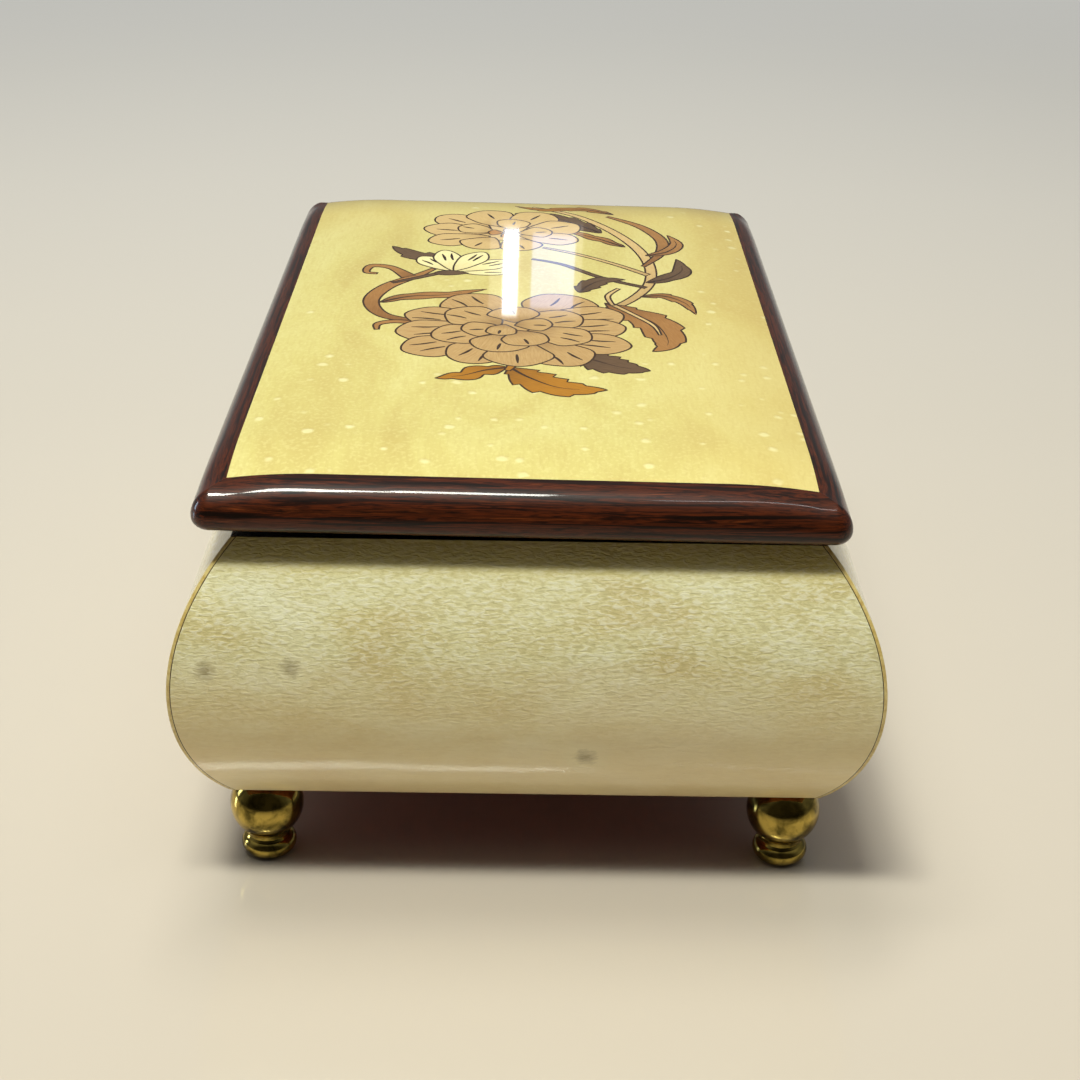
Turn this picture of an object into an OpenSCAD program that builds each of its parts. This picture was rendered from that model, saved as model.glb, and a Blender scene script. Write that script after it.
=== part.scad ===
// Musical jewellery box in millimetres: a bombe veneered case on four turned brass feet, a pillow-topped
// inlaid lid with a bullnose border on two brass hinges, a velvet-lined hollow with ring rolls, and a wind-up
// musical movement under a clear cover. +Z is up, X runs along the box and -Y is the side that opens.
// The origin is on the table, under the middle of the case.

/* [Case] */
// Length of the case across its belly
case_l = 217; // [200:1:260]
// Depth of the case across its belly, from front to back
case_w = 144; // [138:1:170]
// Height of the case panels
panel_h = 58.5; // [54:0.5:62]
// Height of the belly line above the lower edge of the panels
belly_up = 27.5; // [25:0.5:31]
// Radius of the bombe curve
belly_r = 44; // [42:1:60]
// Thickness of the panels at the rim
rim_t = 8; // [7:0.5:10]
// Thickness of the veneers on the case and the lid
veneer_t = 0.7; // [0.5:0.1:1.2]
// Thickness of the base board
base_t = 4; // [3:0.5:6]
// Depth of the rebate that the base board sits in
rebate = 2.5; // [1.5:0.5:3]

/* [Feet] */
// Height of the feet
foot_h = 19.4; // [18:0.2:30]
// Diameter of the ball of a foot
ball_d = 15.8; // [12:0.2:18]
// Diameter of the bead at the bottom of a foot
bead_d = 11.9; // [10:0.1:14]
// Height of that bead
bead_h = 4.5; // [3:0.1:5]
// Diameter of the neck between ball and bead
neck_d = 9.6; // [7:0.1:10]
// Distance of a foot's axis from the lower edges of the case
foot_inset = 6.5; // [5:0.5:8]
// Diameter of the stud that screws a foot to the case
stud_d = 4; // [3:0.5:5]
// Length of that stud
stud_l = 9; // [6:1:14]

/* [Lid] */
// How far the lid reaches past the rim, with the lid in the middle of the case
lid_over = 5.8; // [5:0.1:8]
// Thickness of the lid in its middle
lid_t = 11.7; // [11:0.1:15]
// Width of the bullnose border
border_w = 6.9; // [5:0.1:7.6]
// Width of the rounded-off band inside the border
roll_w = 18; // [12:1:22]
// Radius of that rounding
roll_r = 124; // [100:1:200]
// Radius of the lid's corners in plan
lid_corner_r = 4; // [2:0.5:8]
// Length of the inlaid flower spray
spray_l = 150; // [120:1:160]
// How far the lid sits forward of the middle of the case
lid_forward = 1.5; // [0:0.1:2]
// Gap between the rim and the lid at the hinges
lid_gap = 2; // [1.8:0.1:3]
// How far the stop rod holds the lid open at rest, in degrees
lid_ajar = 0.55; // [0:0.05:1]

/* [Hinges] */
// Length of a hinge
hinge_l = 22; // [16:1:30]
// Distance of a hinge from the middle of the case
hinge_x = 55; // [35:1:65]
// Thickness of a hinge leaf
leaf_t = 0.8; // [0.6:0.1:0.9]
// Width of a hinge leaf
leaf_w = 6.4; // [5:0.1:7]
// Diameter of a hinge knuckle
knuckle_d = 1.9; // [1.6:0.1:2]
// Diameter of a hinge pin
pin_d = 1; // [0.8:0.1:1.1]

/* [Lining] */
// Thickness of the lined boards inside the case
liner_t = 1.5; // [1:0.1:2.5]
// How far the linings stop below the rim
liner_drop = 3; // [2:0.5:6]
// Thickness of the padded board inside the lid
lid_pad_t = 3; // [2:0.1:4]
// Space between that board and the case panels
lid_pad_gap = 3; // [2:0.5:6]
// Length of the movement's compartment
movement_l = 52; // [50:1:60]
// Thickness of the partition beside it
partition_t = 4; // [3:0.5:6]
// Height of the partition and the clear cover's seat above the base board
cover_up = 38.5; // [36:0.5:42]
// Thickness of the clear cover
cover_t = 2; // [1.5:0.1:3]
// Number of ring rolls
roll_n = 7; // [5:1:8]
// Length of the ring rolls
roll_l = 38; // [30:1:50]
// Diameter of a ring roll
roll_d = 13; // [10:0.5:14]
// Height of the block under the ring rolls
roll_block_h = 30; // [20:1:36]

/* [Movement] */
// Thickness of the movement's bedplate
bed_t = 2; // [1.6:0.1:3]
// Diameter of the pinned cylinder
drum_d = 13; // [12:0.5:13.5]
// Length of the pinned cylinder
drum_l = 23; // [20:0.5:24]
// Number of comb teeth and of pin tracks
comb_n = 18; // [12:1:22]
// Diameter of the spring barrel
barrel_d = 21; // [19:0.5:22]
// Diameter of the winding arbor
arbor_d = 3; // [2.4:0.1:3.4]
// Height of the winding key below the base board
key_h = 13.5; // [11:0.5:14.5]
// Width of the key across its wings
key_w = 22; // [18:1:28]
// Diameter of the stop rod
rod_d = 1.6; // [1.2:0.1:2]
// Travel of the stop rod as the lid opens
rod_travel = 3; // [2:0.5:4]

/* [Fits] */
// Radial clearance of a shaft or pin in its bearing
run_c = 0.05; // [0.03:0.01:0.08]
// Clearance of a loose fit
loose_c = 0.3; // [0.2:0.05:0.4]
// Clearance between boards that are glued in place
glue_c = 0.1; // [0.05:0.05:0.2]

/* [Hidden] */
$fn = 96;
eps = 0.01;
far = 400;

// Levels
case_z = foot_h;
belly_z = case_z + belly_up;
rim_z = case_z + panel_h;
floor_z = case_z + base_t;
cover_z = floor_z + cover_up;
lid_z = rim_z + lid_gap;

// Half depth of the bombe curve at height z, and the plan sizes that follow
function bombe(z) = case_w / 2 - belly_r + sqrt(pow(belly_r, 2) - pow(z - belly_z, 2));
end_shift = (case_l - case_w) / 2;
rim_half = bombe(rim_z);
inner_y = rim_half - rim_t;
inner_x = inner_y + end_shift;
foot_y = bombe(case_z) - foot_inset;
foot_x = foot_y + end_shift;

// Lid
lid_w = 2 * (rim_half + lid_over);
lid_l = lid_w + 2 * end_shift;
panel_half_y = lid_w / 2 - border_w;
panel_half_x = lid_l / 2 - border_w;
roll_a = asin(roll_w / roll_r);
bull_r = border_w / (1 - sin(roll_a));
bull_z = lid_t - roll_r * (1 - cos(roll_a)) - bull_r * cos(roll_a);
hinge_y = rim_half + 0.25 + knuckle_d / 2;
hinge_z = rim_z + lid_gap / 2;

// Hinge knuckles and screws
knuckle_gap = 0.2;
knuckle_l = hinge_l / 3;
hinge_screw_x = hinge_l / 4;
screw_d = 1.6;
screw_l = 5;

// Compartments
part_x = -inner_x + movement_l;
hollow_x = part_x + partition_t;
liner_top = rim_z - liner_drop;
ledge = 4;
roll_z = floor_z + liner_t + roll_block_h + roll_d / 2 + loose_c;
roll_pitch = (2 * inner_y - 2 * liner_t - 2) / roll_n;
roll_x = hollow_x + liner_t + 1 + roll_l / 2;

// Movement: its own frame has X along the cylinder's axis and Z = 0 on the base board
mv_x = -inner_x + movement_l / 2;
mv_from_wall = 45.225;
mv_y = mv_from_wall - inner_y;
crown_n = 24;
pinion_n = 12;
wheel_n = 36;
worm_n = 12;
crown_m = 0.6;
train_m = 0.5;
worm_m = 0.7;
worm_lead = PI * worm_m;
worm_r = 1.9;
barrel_x = 23;
barrel_z = bed_t + 1;
barrel_h = 8.6;
crown_h = 1.2;
crown_r = crown_m * crown_n / 2;
drum_z = barrel_z + barrel_h + crown_h / 2 + crown_m * pinion_n / 2;
drum_x = -3;
pin_h = 0.5;
drum_arbor_d = 2;
drum_pinion_x = barrel_x - crown_r;
wheel_x = drum_x - drum_l / 2 - 1.4;
left_x = wheel_x - 3;
right_x = drum_x + drum_l / 2 + 1.8;
bracket_t = 1.6;
train_y = train_m * (wheel_n + pinion_n) / 2;
train_arbor_d = 1.6;
worm_wheel_x = drum_x - drum_l / 2 + 4.5;
train_post_x = worm_wheel_x + 3;
worm_y = train_y + worm_m * worm_n / 2 + worm_r;
spindle_d = 1.2;
fly_z = drum_z + 7.5;
fly_h = 4.6;
fly_r = 5.6;
cock_z = fly_z + fly_h + 0.8;
cock_t = 1.4;
rod_from_wall = 9.2;
rod_x = rod_from_wall - inner_y - mv_y;
guide_w = 7;
guide_l = 10;
guide_t = 1.4;
arm_z = fly_z + fly_h + loose_c;
spring_room = 6.5;
guide_h = arm_z - rod_travel - spring_room;
arm_t = 0.8;
comb_t = 1;
comb_y = drum_d / 2 + pin_h + loose_c;
comb_l = 14;
bed_x0 = -24;
bed_x1 = 36;
bed_y0 = -21;
bed_y1 = 21;
key_z = case_z - 1.2;
hub_h = 6;
hub_d = 7;
wing_t = 1.4;
base_screws = [[bed_x0 + 4, bed_y0 + 4], [bed_x0 + 4, bed_y1 - 3], [bed_x1 - 3.5, bed_y0 + 4]];
base_screw_d = 2.6;

// ---- Helpers ----

// A section drawn in Y and Z, carried along X, and one drawn in X and Z, carried along Y
module along_x(l = far) rotate([90, 0, 90]) linear_extrude(l, center = true) children();
module along_y(l = far) rotate([90, 0, 0]) linear_extrude(l, center = true) children();

// Keeps what lies in front of the mitres of a rectangle whose ends are s further out than its sides
module front_wedge(s) {
  intersection() {
    children();
    linear_extrude(far, center = true)
      polygon([[-s, 0], [s, 0], [s + far / 2, -far / 2], [-s - far / 2, -far / 2]]);
  }
}
module end_wedge(s) {
  intersection() {
    children();
    linear_extrude(far, center = true) polygon([[s, 0], [s + far / 2, far / 2], [s + far / 2, -far / 2]]);
  }
}

// Bombe section: w across the belly, drawn in from its face by off, between the panels' lower and upper edges
module bombe_section(w, off = 0) {
  intersection() {
    union() {
      square([w - 2 * belly_r, far], center = true);
      for (s = [-1, 1]) translate([s * (w / 2 - belly_r), belly_z]) circle(r = belly_r - off, $fn = 180);
    }
    translate([-far / 2, case_z]) square([far, panel_h]);
  }
}
module bombe_ring(w) {
  difference() {
    bombe_section(w);
    bombe_section(w, veneer_t);
  }
}

// What is cut from the panels: the hollow, the rebate for the base board and the foot studs
module panel_cuts() {
  translate([-inner_x, -inner_y, case_z - eps]) cube([2 * inner_x, 2 * inner_y, panel_h + 2 * eps]);
  translate([-inner_x - rebate, -inner_y - rebate, case_z - eps])
    cube([2 * (inner_x + rebate), 2 * (inner_y + rebate), base_t + eps]);
  for (x = [-foot_x, foot_x], y = [-foot_y, foot_y])
    translate([x, y, case_z - eps]) cylinder(d = stud_d, h = stud_l + eps);
}
module long_panel() {
  difference() {
    front_wedge(end_shift) along_x() bombe_section(case_w, veneer_t);
    panel_cuts();
  }
}
module end_panel() {
  difference() {
    intersection() {
      end_wedge(end_shift) along_y() bombe_section(case_l, veneer_t);
      along_x() bombe_section(case_w, veneer_t);
    }
    panel_cuts();
  }
}
module long_veneer() {
  intersection() {
    front_wedge(far / 4) along_x() bombe_ring(case_w);
    along_y() bombe_section(case_l);
  }
}
module end_veneer() {
  intersection() {
    along_y() bombe_ring(case_l);
    along_x() bombe_section(case_w, veneer_t);
    translate([0, -far / 2, 0]) cube(far);
  }
}

// ---- Case ----

module front_panel() color("#c3b478") long_panel();
module back_panel() {
  color("#c3b478") difference() {
    mirror([0, 1, 0]) long_panel();
    case_screws();
  }
}
module right_end_panel() color("#c3b478") end_panel();
module left_end_panel() color("#c3b478") mirror([1, 0, 0]) end_panel();
module front_veneer() color("#cfc48c") long_veneer();
module back_veneer() color("#cfc48c") mirror([0, 1, 0]) long_veneer();
module right_end_veneer() color("#cfc48c") end_veneer();
module left_end_veneer() color("#cfc48c") mirror([1, 0, 0]) end_veneer();

module base_board() {
  x = inner_x + rebate - glue_c;
  y = inner_y + rebate - glue_c;
  color("#b89f6a") difference() {
    translate([-x, -y, case_z]) cube([2 * x, 2 * y, base_t]);
    in_movement() {
      translate([barrel_x, 0, -far / 2]) cylinder(d = arbor_d + 3, h = far);
      for (p = base_screws) translate([p[0], p[1], -far / 2]) cylinder(d = base_screw_d, h = far);
    }
  }
}

// ---- Feet: one turned piece each, on its own stud ----

module foot_profile() {
  bead_r = bead_h / 2;
  ball_z = foot_h - ball_d * 0.45;
  intersection() {
    square([ball_d, foot_h]);
    union() {
      translate([0, ball_z]) circle(d = ball_d);
      square([neck_d / 2 - 0.5, foot_h - 1]);
      square([neck_d / 2, bead_h + 0.9]);
      translate([bead_d / 2 - bead_r, bead_r]) circle(r = bead_r);
      square([bead_d / 2 - bead_r, bead_h]);
    }
  }
}
module foot(sx, sy) {
  color("#a58b3c") translate([sx * foot_x, sy * foot_y, 0]) {
    rotate_extrude() foot_profile();
    translate([0, 0, foot_h - eps]) cylinder(d = stud_d, h = stud_l - 0.5 + eps);
  }
}
module foot_front_left() foot(-1, -1);
module foot_front_right() foot(1, -1);
module foot_back_left() foot(-1, 1);
module foot_back_right() foot(1, 1);

// ---- Lid: drawn closed, then set ajar about the hinge line ----

module in_lid() {
  translate([0, hinge_y, hinge_z]) rotate([-lid_ajar, 0, 0]) translate([0, -hinge_y, -hinge_z]) children();
}
module on_lid() in_lid() translate([0, -lid_forward, lid_z]) children();

// Section of the lid, w wide, standing on Y = 0
module lid_section(w) {
  flat = w / 2 - border_w - roll_w;
  edge = w / 2 - border_w;
  intersection() {
    translate([-edge, 0]) square([2 * edge, lid_t]);
    union() {
      translate([-flat, 0]) square([2 * flat, lid_t]);
      for (s = [-1, 1]) translate([s * flat, lid_t - roll_r]) circle(r = roll_r, $fn = 360);
    }
  }
  for (s = [0, 1]) mirror([s, 0]) {
    intersection() {
      translate([w / 2 - bull_r, bull_z]) circle(r = bull_r);
      translate([edge - eps, bull_z]) square([border_w + eps, lid_t]);
    }
    translate([edge - eps, 0]) square([border_w + eps - bull_z, bull_z + eps]);
    translate([w / 2 - bull_z, bull_z]) circle(r = bull_z);
  }
}
module lid_block() {
  intersection() {
    along_x() lid_section(lid_w);
    along_y() lid_section(lid_l);
    linear_extrude(far, center = true) {
      square([lid_l - 2 * lid_corner_r, lid_w], center = true);
      square([lid_l, lid_w - 2 * lid_corner_r], center = true);
      for (x = [-1, 1], y = [-1, 1])
        translate([x * (lid_l / 2 - lid_corner_r), y * (lid_w / 2 - lid_corner_r)]) circle(r = lid_corner_r);
    }
  }
}
module panel_area(d = 0) {
  translate([0, 0, -far / 2])
    linear_extrude(far) square([2 * (panel_half_x - d), 2 * (panel_half_y - d)], center = true);
}
module lid_border() {
  difference() {
    lid_block();
    panel_area();
  }
}
module lid_core() {
  color("#b89f6a") difference() {
    on_lid() intersection() {
      translate([0, 0, -veneer_t]) lid_block();
      panel_area();
      translate([-far / 2, -far / 2, 0]) cube(far);
    }
    lid_screws();
  }
}
module lid_veneer() {
  color("#e6da95") on_lid() difference() {
    intersection() {
      lid_block();
      panel_area();
    }
    translate([0, 0, -veneer_t]) lid_block();
    translate([-far / 2, -far / 2, -far + lid_t / 2]) cube(far);
    in_inlay(lid_t / 4) {
      rose_2d();
      blossoms_2d();
      leaves_2d();
      stems_2d();
    }
  }
}
module border_long() front_wedge(panel_half_x - panel_half_y) lid_border();
module border_short() end_wedge(panel_half_x - panel_half_y) lid_border();
module lid_border_front() color("#3f1c12") on_lid() border_long();
module lid_border_back() {
  color("#3f1c12") difference() {
    on_lid() mirror([0, 1, 0]) border_long();
    for (s = [-1, 1]) at_hinge(s) knuckle(hinge_l / 2 + 0.5, knuckle_d / 2 + loose_c);
    lid_screws();
  }
}
module lid_border_right() color("#3f1c12") on_lid() border_short();
module lid_border_left() color("#3f1c12") on_lid() mirror([1, 0, 0]) border_short();

module lid_pad() {
  x = inner_x - lid_pad_gap - lid_forward;
  y = inner_y - lid_pad_gap - lid_forward;
  color("#7c1722") on_lid() translate([0, lid_forward, -lid_pad_t])
    linear_extrude(lid_pad_t) square([2 * x, 2 * y], center = true);
}

// ---- Inlay: a flower spray, drawn 150 long with X to the back of the box and Y from its right end ----

module in_inlay(below = 0) {
  translate([panel_half_x, 0, lid_t - veneer_t - below])
    rotate([0, 0, 90]) linear_extrude(2 * veneer_t + below) scale(spray_l / 150) children();
}
module inlay(name) {
  on_lid() intersection() {
    in_inlay() children();
    lid_block();
  }
}
// A leaf of length l and width w, pointing along +Y, and grown by g all round
module leaf_2d(l, w, g = 0) {
  r = (pow(l, 2) + pow(w, 2)) / (4 * w);
  intersection() {
    translate([w / 2 - r, l / 2]) circle(r = r + g);
    translate([r - w / 2, l / 2]) circle(r = r + g);
  }
}
// An arc of mean radius r and width w, from angle a0 to angle a1
module arc_2d(r, w, a0, a1) {
  intersection() {
    difference() {
      circle(r = r + w / 2);
      circle(r = r - w / 2);
    }
    polygon(concat([[0, 0]], [for (i = [0:8]) let (a = a0 + (a1 - a0) * i / 8) 1.5 * r * [cos(a), sin(a)]]));
  }
}
module rose_2d(g = 0) {
  translate([-6, 77]) {
    circle(r = 15);
    for (a = [0:40:320]) rotate(a) translate([15, 0]) circle(r = 6.2 + g);
  }
}
module blossoms_2d(g = 0) {
  for (a = [30:60:330]) translate([-17, 157]) rotate(a) translate([6.5, 0]) circle(r = 5 + g);
  translate([-17, 157]) circle(r = 6);
  translate([-15, 120]) for (a = [-30, 0, 30]) rotate(a) translate([0, -2]) leaf_2d(17, 7, g);
}
module leaves_2d(g = 0) {
  translate([0, 52.5]) rotate(-120) leaf_2d(24, 11, g);
  translate([-9, 51.5]) rotate(115) leaf_2d(17, 7, g);
  translate([17, 64]) rotate(-125) leaf_2d(19, 9, g);
  translate([27, 102]) rotate(200) leaf_2d(30, 9, g);
  translate([33, 128]) rotate(195) leaf_2d(22, 6, g);
  translate([-30, 126]) rotate(25) leaf_2d(15, 6, g);
  translate([4, 118]) rotate(-60) leaf_2d(14, 6, g);
  translate([6, 166]) rotate(-70) leaf_2d(15, 7, g);
}
module stems_2d() {
  difference() {
    union() {
      translate([-4, 140]) arc_2d(34, 1.8, -38, 72);
      translate([-14, 100]) arc_2d(22, 2.2, 112, 205);
    }
    rose_2d(loose_c);
    blossoms_2d(loose_c);
    leaves_2d(loose_c);
  }
}
module inlay_rose() color("#c39d78") inlay() rose_2d();
module inlay_blossoms() color("#ecdba0") inlay() blossoms_2d();
module inlay_leaves() color("#6b5038") inlay() leaves_2d();
module inlay_stems() color("#b8895a") inlay() stems_2d();

// ---- Hinges ----

module at_hinge(s) translate([s * hinge_x, hinge_y, hinge_z]) children();
module knuckle(half, r) rotate([0, 90, 0]) cylinder(r = r, h = 2 * half, center = true);
// A leaf that reaches forward from the knuckle, z to z + leaf_t, with its knuckles and screw holes
module hinge_leaf(z, middle) {
  difference() {
    union() {
      intersection() {
        translate([-hinge_l / 2, -leaf_w - knuckle_d / 2, z]) cube([hinge_l, leaf_w + knuckle_d / 2, leaf_t]);
        union() {
          translate([-far / 2, -far - knuckle_d / 2 - knuckle_gap, -far / 2]) cube(far);
          leaf_knuckles(middle) translate([0, -far / 2, -far / 2]) cube([knuckle_l, far, far]);
        }
      }
      leaf_knuckles(middle) rotate([0, 90, 0]) cylinder(d = knuckle_d, h = knuckle_l);
    }
    rotate([0, 90, 0]) cylinder(d = pin_d + 2 * run_c, h = far, center = true);
    hinge_screw_places() translate([0, 0, -far / 2]) cylinder(d = screw_d, h = far);
  }
}
// The middle third, or the two outer thirds, with a gap at each joint
module leaf_knuckles(middle) {
  intersection() {
    for (i = middle ? [0] : [-1, 1]) translate([(i - 0.5) * knuckle_l, 0, 0]) children();
    union() {
      if (middle) cube([knuckle_l - knuckle_gap, far, far], center = true);
      else for (i = [-1, 1])
        translate([i * (knuckle_l + knuckle_gap / 4), 0, 0])
          cube([knuckle_l - knuckle_gap / 2, far, far], center = true);
    }
  }
}
module hinge_screw_places() {
  for (s = [-1, 1]) translate([s * hinge_screw_x, -leaf_w / 2 - knuckle_d, 0]) children();
}
module case_leaf(s) color("#b59a4a") at_hinge(s) hinge_leaf(-lid_gap / 2, false);
module lid_leaf(s) color("#b59a4a") in_lid() at_hinge(s) hinge_leaf(lid_gap / 2 - leaf_t, true);
module left_hinge_case_leaf() case_leaf(-1);
module right_hinge_case_leaf() case_leaf(1);
module left_hinge_lid_leaf() lid_leaf(-1);
module right_hinge_lid_leaf() lid_leaf(1);
module hinge_pins() {
  color("#c9b06a") for (s = [-1, 1]) at_hinge(s) knuckle(hinge_l / 2, pin_d / 2);
}
// Screw in a leaf at z, with its shank towards dir, flush with the leaf
module hinge_screw(z, dir) {
  hinge_screw_places() translate([0, 0, dir > 0 ? z : z + leaf_t])
    mirror([0, 0, dir > 0 ? 0 : 1]) cylinder(d = screw_d, h = screw_l);
}
module case_screws() for (s = [-1, 1]) at_hinge(s) hinge_screw(-lid_gap / 2, -1);
module lid_screws() in_lid() for (s = [-1, 1]) at_hinge(s) hinge_screw(lid_gap / 2 - leaf_t, 1);
module hinge_case_screws() color("#c9b06a") case_screws();
module hinge_lid_screws() color("#c9b06a") lid_screws();

// ---- Lining ----

module board(x0, x1, y0, y1, z0, z1) translate([x0, y0, z0]) cube([x1 - x0, y1 - y0, z1 - z0]);
module lining_floor() {
  color("#6e1420") board(hollow_x, inner_x, -inner_y, inner_y, floor_z, floor_z + liner_t);
}
module lining_front() {
  color("#7c1722") board(hollow_x, inner_x, -inner_y, -inner_y + liner_t, floor_z + liner_t, liner_top);
}
module lining_back() color("#7c1722") mirror([0, 1, 0]) lining_front();
module lining_end() {
  y = inner_y - liner_t;
  color("#7c1722") board(inner_x - liner_t, inner_x, -y, y, floor_z + liner_t, liner_top);
}
module lining_partition() {
  y = inner_y - liner_t;
  color("#7c1722") board(hollow_x, hollow_x + liner_t, -y, y, floor_z + liner_t, cover_z);
}
module partition() {
  color("#b89f6a") board(part_x, hollow_x, -inner_y + glue_c, inner_y - glue_c, floor_z, cover_z);
}
module cover_ledge() {
  y = inner_y - glue_c;
  color("#b89f6a") board(-inner_x, -inner_x + ledge, -y, y, cover_z - ledge, cover_z);
}
module clear_cover() {
  color("#dfe8ea", 0.35) difference() {
    board(-inner_x + loose_c, hollow_x, -inner_y + loose_c, inner_y - loose_c, cover_z, cover_z + cover_t);
    in_movement() translate([rod_x, worm_y, 0]) cylinder(d = rod_d + 2.4, h = far);
  }
}
module ring_block() {
  x = roll_x - roll_l / 2;
  y = inner_y - liner_t - 0.5;
  z = floor_z + liner_t;
  color("#6e1420") board(x, x + roll_l, -y, y, z, z + roll_block_h);
}
module ring_rolls() {
  color("#8a1c28") for (i = [0:roll_n - 1])
    translate([roll_x, (i - (roll_n - 1) / 2) * roll_pitch, roll_z])
      rotate([0, 90, 0]) cylinder(d = min(roll_d, roll_pitch - 0.6), h = roll_l, center = true);
}

// ---- Movement ----

module in_movement() translate([mv_x, mv_y, floor_z]) rotate([0, 0, 90]) children();

// Sweeps a section of [radius, height] points round Z, up by lead each turn
module helix(section, lead, turns, start = 0, seg = 20) {
  n = len(section);
  steps = turns * seg;
  points = [for (i = [0:steps], p = section) let (a = start + 360 * i / seg)
    [p[0] * cos(a), p[0] * sin(a), p[1] + lead * i / seg]];
  sides = [for (i = [0:steps - 1], j = [0:n - 1], h = [0, 1]) let (k = (j + 1) % n)
    h == 0 ? [i * n + j, (i + 1) * n + k, i * n + k] : [i * n + j, (i + 1) * n + j, (i + 1) * n + k]];
  first = [for (j = [1:n - 2]) [0, j, j + 1]];
  last = [for (j = [1:n - 2]) [steps * n, steps * n + j + 1, steps * n + j]];
  polyhedron(points, concat(sides, first, last), convexity = 10);
}
// Spur gear outline with n straight-sided teeth of module m, its first tooth on +X
module gear_2d(n, m) {
  root = m * (n / 2 - 1.25);
  pitch = 90 / n;
  circle(r = root + eps);
  for (i = [0:n - 1]) rotate(360 * i / n)
    polygon([
      root * [cos(pitch), -sin(pitch)], m * (n / 2 + 0.9) * [cos(pitch * 0.4), -sin(pitch * 0.4)],
      m * (n / 2 + 0.9) * [cos(pitch * 0.4), sin(pitch * 0.4)], root * [cos(pitch), sin(pitch)]
    ]);
}
// Lays what is drawn upright along X: its first tooth then points up
module lay_along_x(x, z) translate([x, 0, z]) rotate([0, 90, 0]) rotate([0, 0, 180]) children();

module bedplate() {
  post_y = 4.5;
  color("#b7b1a0") in_movement() difference() {
    union() {
      translate([bed_x0, bed_y0, 0]) cube([bed_x1 - bed_x0, bed_y1 - bed_y0, bed_t]);
      translate([barrel_x, 0, 0]) cylinder(d = arbor_d + 4, h = barrel_z - loose_c / 2);
      for (x = [left_x, right_x])
        translate([x - bracket_t / 2, -post_y, 0]) cube([bracket_t, 2 * post_y, drum_z + 3]);
      for (x = [left_x, train_post_x])
        translate([x - bracket_t / 2, train_y - 2.5, 0]) cube([bracket_t, 5, drum_z + 3]);
      translate([drum_x - drum_l / 2, -comb_y - comb_l, 0]) cube([drum_l, 6, drum_z - comb_t / 2]);
      translate([worm_wheel_x, worm_y, 0]) cylinder(d = 4.4, h = bed_t + 1.6);
      translate([cock_x(), worm_y - 3, 0]) cube([5, 6, cock_z]);
    }
    translate([barrel_x, 0, -eps]) cylinder(d = arbor_d + 2 * run_c, h = far);
    lay_along_x(0, drum_z) cylinder(d = drum_arbor_d + 2 * run_c, h = far, center = true);
    translate([0, train_y, 0]) lay_along_x(0, drum_z)
      cylinder(d = train_arbor_d + 2 * run_c, h = far, center = true);
    translate([worm_wheel_x, worm_y, bed_t / 2]) cylinder(d = spindle_d + 2 * run_c, h = far);
    for (p = base_screws) translate([p[0], p[1], -eps]) cylinder(d = base_screw_d, h = far);
    comb_screw_places() translate([0, 0, drum_z - 8]) cylinder(d = screw_d, h = far);
    translate([cock_x() + 2.5, worm_y, cock_z - 5]) cylinder(d = screw_d, h = far);
  }
}
function cock_x() = worm_wheel_x + fly_r + 0.8;

module bedplate_screws() {
  color("#c9c4b4") in_movement() for (p = base_screws) translate([p[0], p[1], 0]) {
    translate([0, 0, -base_t - 1.2]) cylinder(d = 2 * base_screw_d, h = 1.2);
    translate([0, 0, -base_t - eps]) cylinder(d = base_screw_d, h = base_t + bed_t + eps);
  }
}

module comb_screw_places() {
  for (s = [-1, 1]) translate([drum_x + s * drum_l / 4, -comb_y - comb_l + 3, 0]) children();
}
module comb() {
  pitch = drum_l / comb_n;
  color("#d3d0c6") in_movement() difference() {
    translate([drum_x - drum_l / 2, -comb_y - comb_l, drum_z - comb_t / 2]) cube([drum_l, comb_l, comb_t]);
    for (i = [1:comb_n - 1])
      translate([drum_x - drum_l / 2 + i * pitch - 0.15, -comb_y - comb_l + 6, 0]) cube([0.3, far, far]);
    comb_screw_places() cylinder(d = screw_d, h = far);
  }
}
module comb_screws() {
  color("#8f8b80") in_movement() comb_screw_places() {
    translate([0, 0, drum_z + comb_t / 2]) cylinder(d = 3.2, h = 1.2);
    translate([0, 0, drum_z - 6]) cylinder(d = screw_d, h = 6 + comb_t / 2 + eps);
  }
}

// Arm over the fly that holds the upper end of the governor's spindle, with its screw
module governor_cock() {
  color("#c2a457") in_movement() {
    difference() {
      union() {
        translate([worm_wheel_x, worm_y - 2, cock_z]) cube([cock_x() + 5 - worm_wheel_x, 4, cock_t]);
        translate([worm_wheel_x, worm_y, cock_z]) cylinder(d = 4, h = cock_t);
      }
      translate([worm_wheel_x, worm_y, 0]) cylinder(d = spindle_d + 2 * run_c, h = far);
    }
    translate([cock_x() + 2.5, worm_y, cock_z - 4]) cylinder(d = screw_d, h = 4 + eps);
    translate([cock_x() + 2.5, worm_y, cock_z + cock_t - eps]) cylinder(d = 3.2, h = 1);
  }
}

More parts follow.
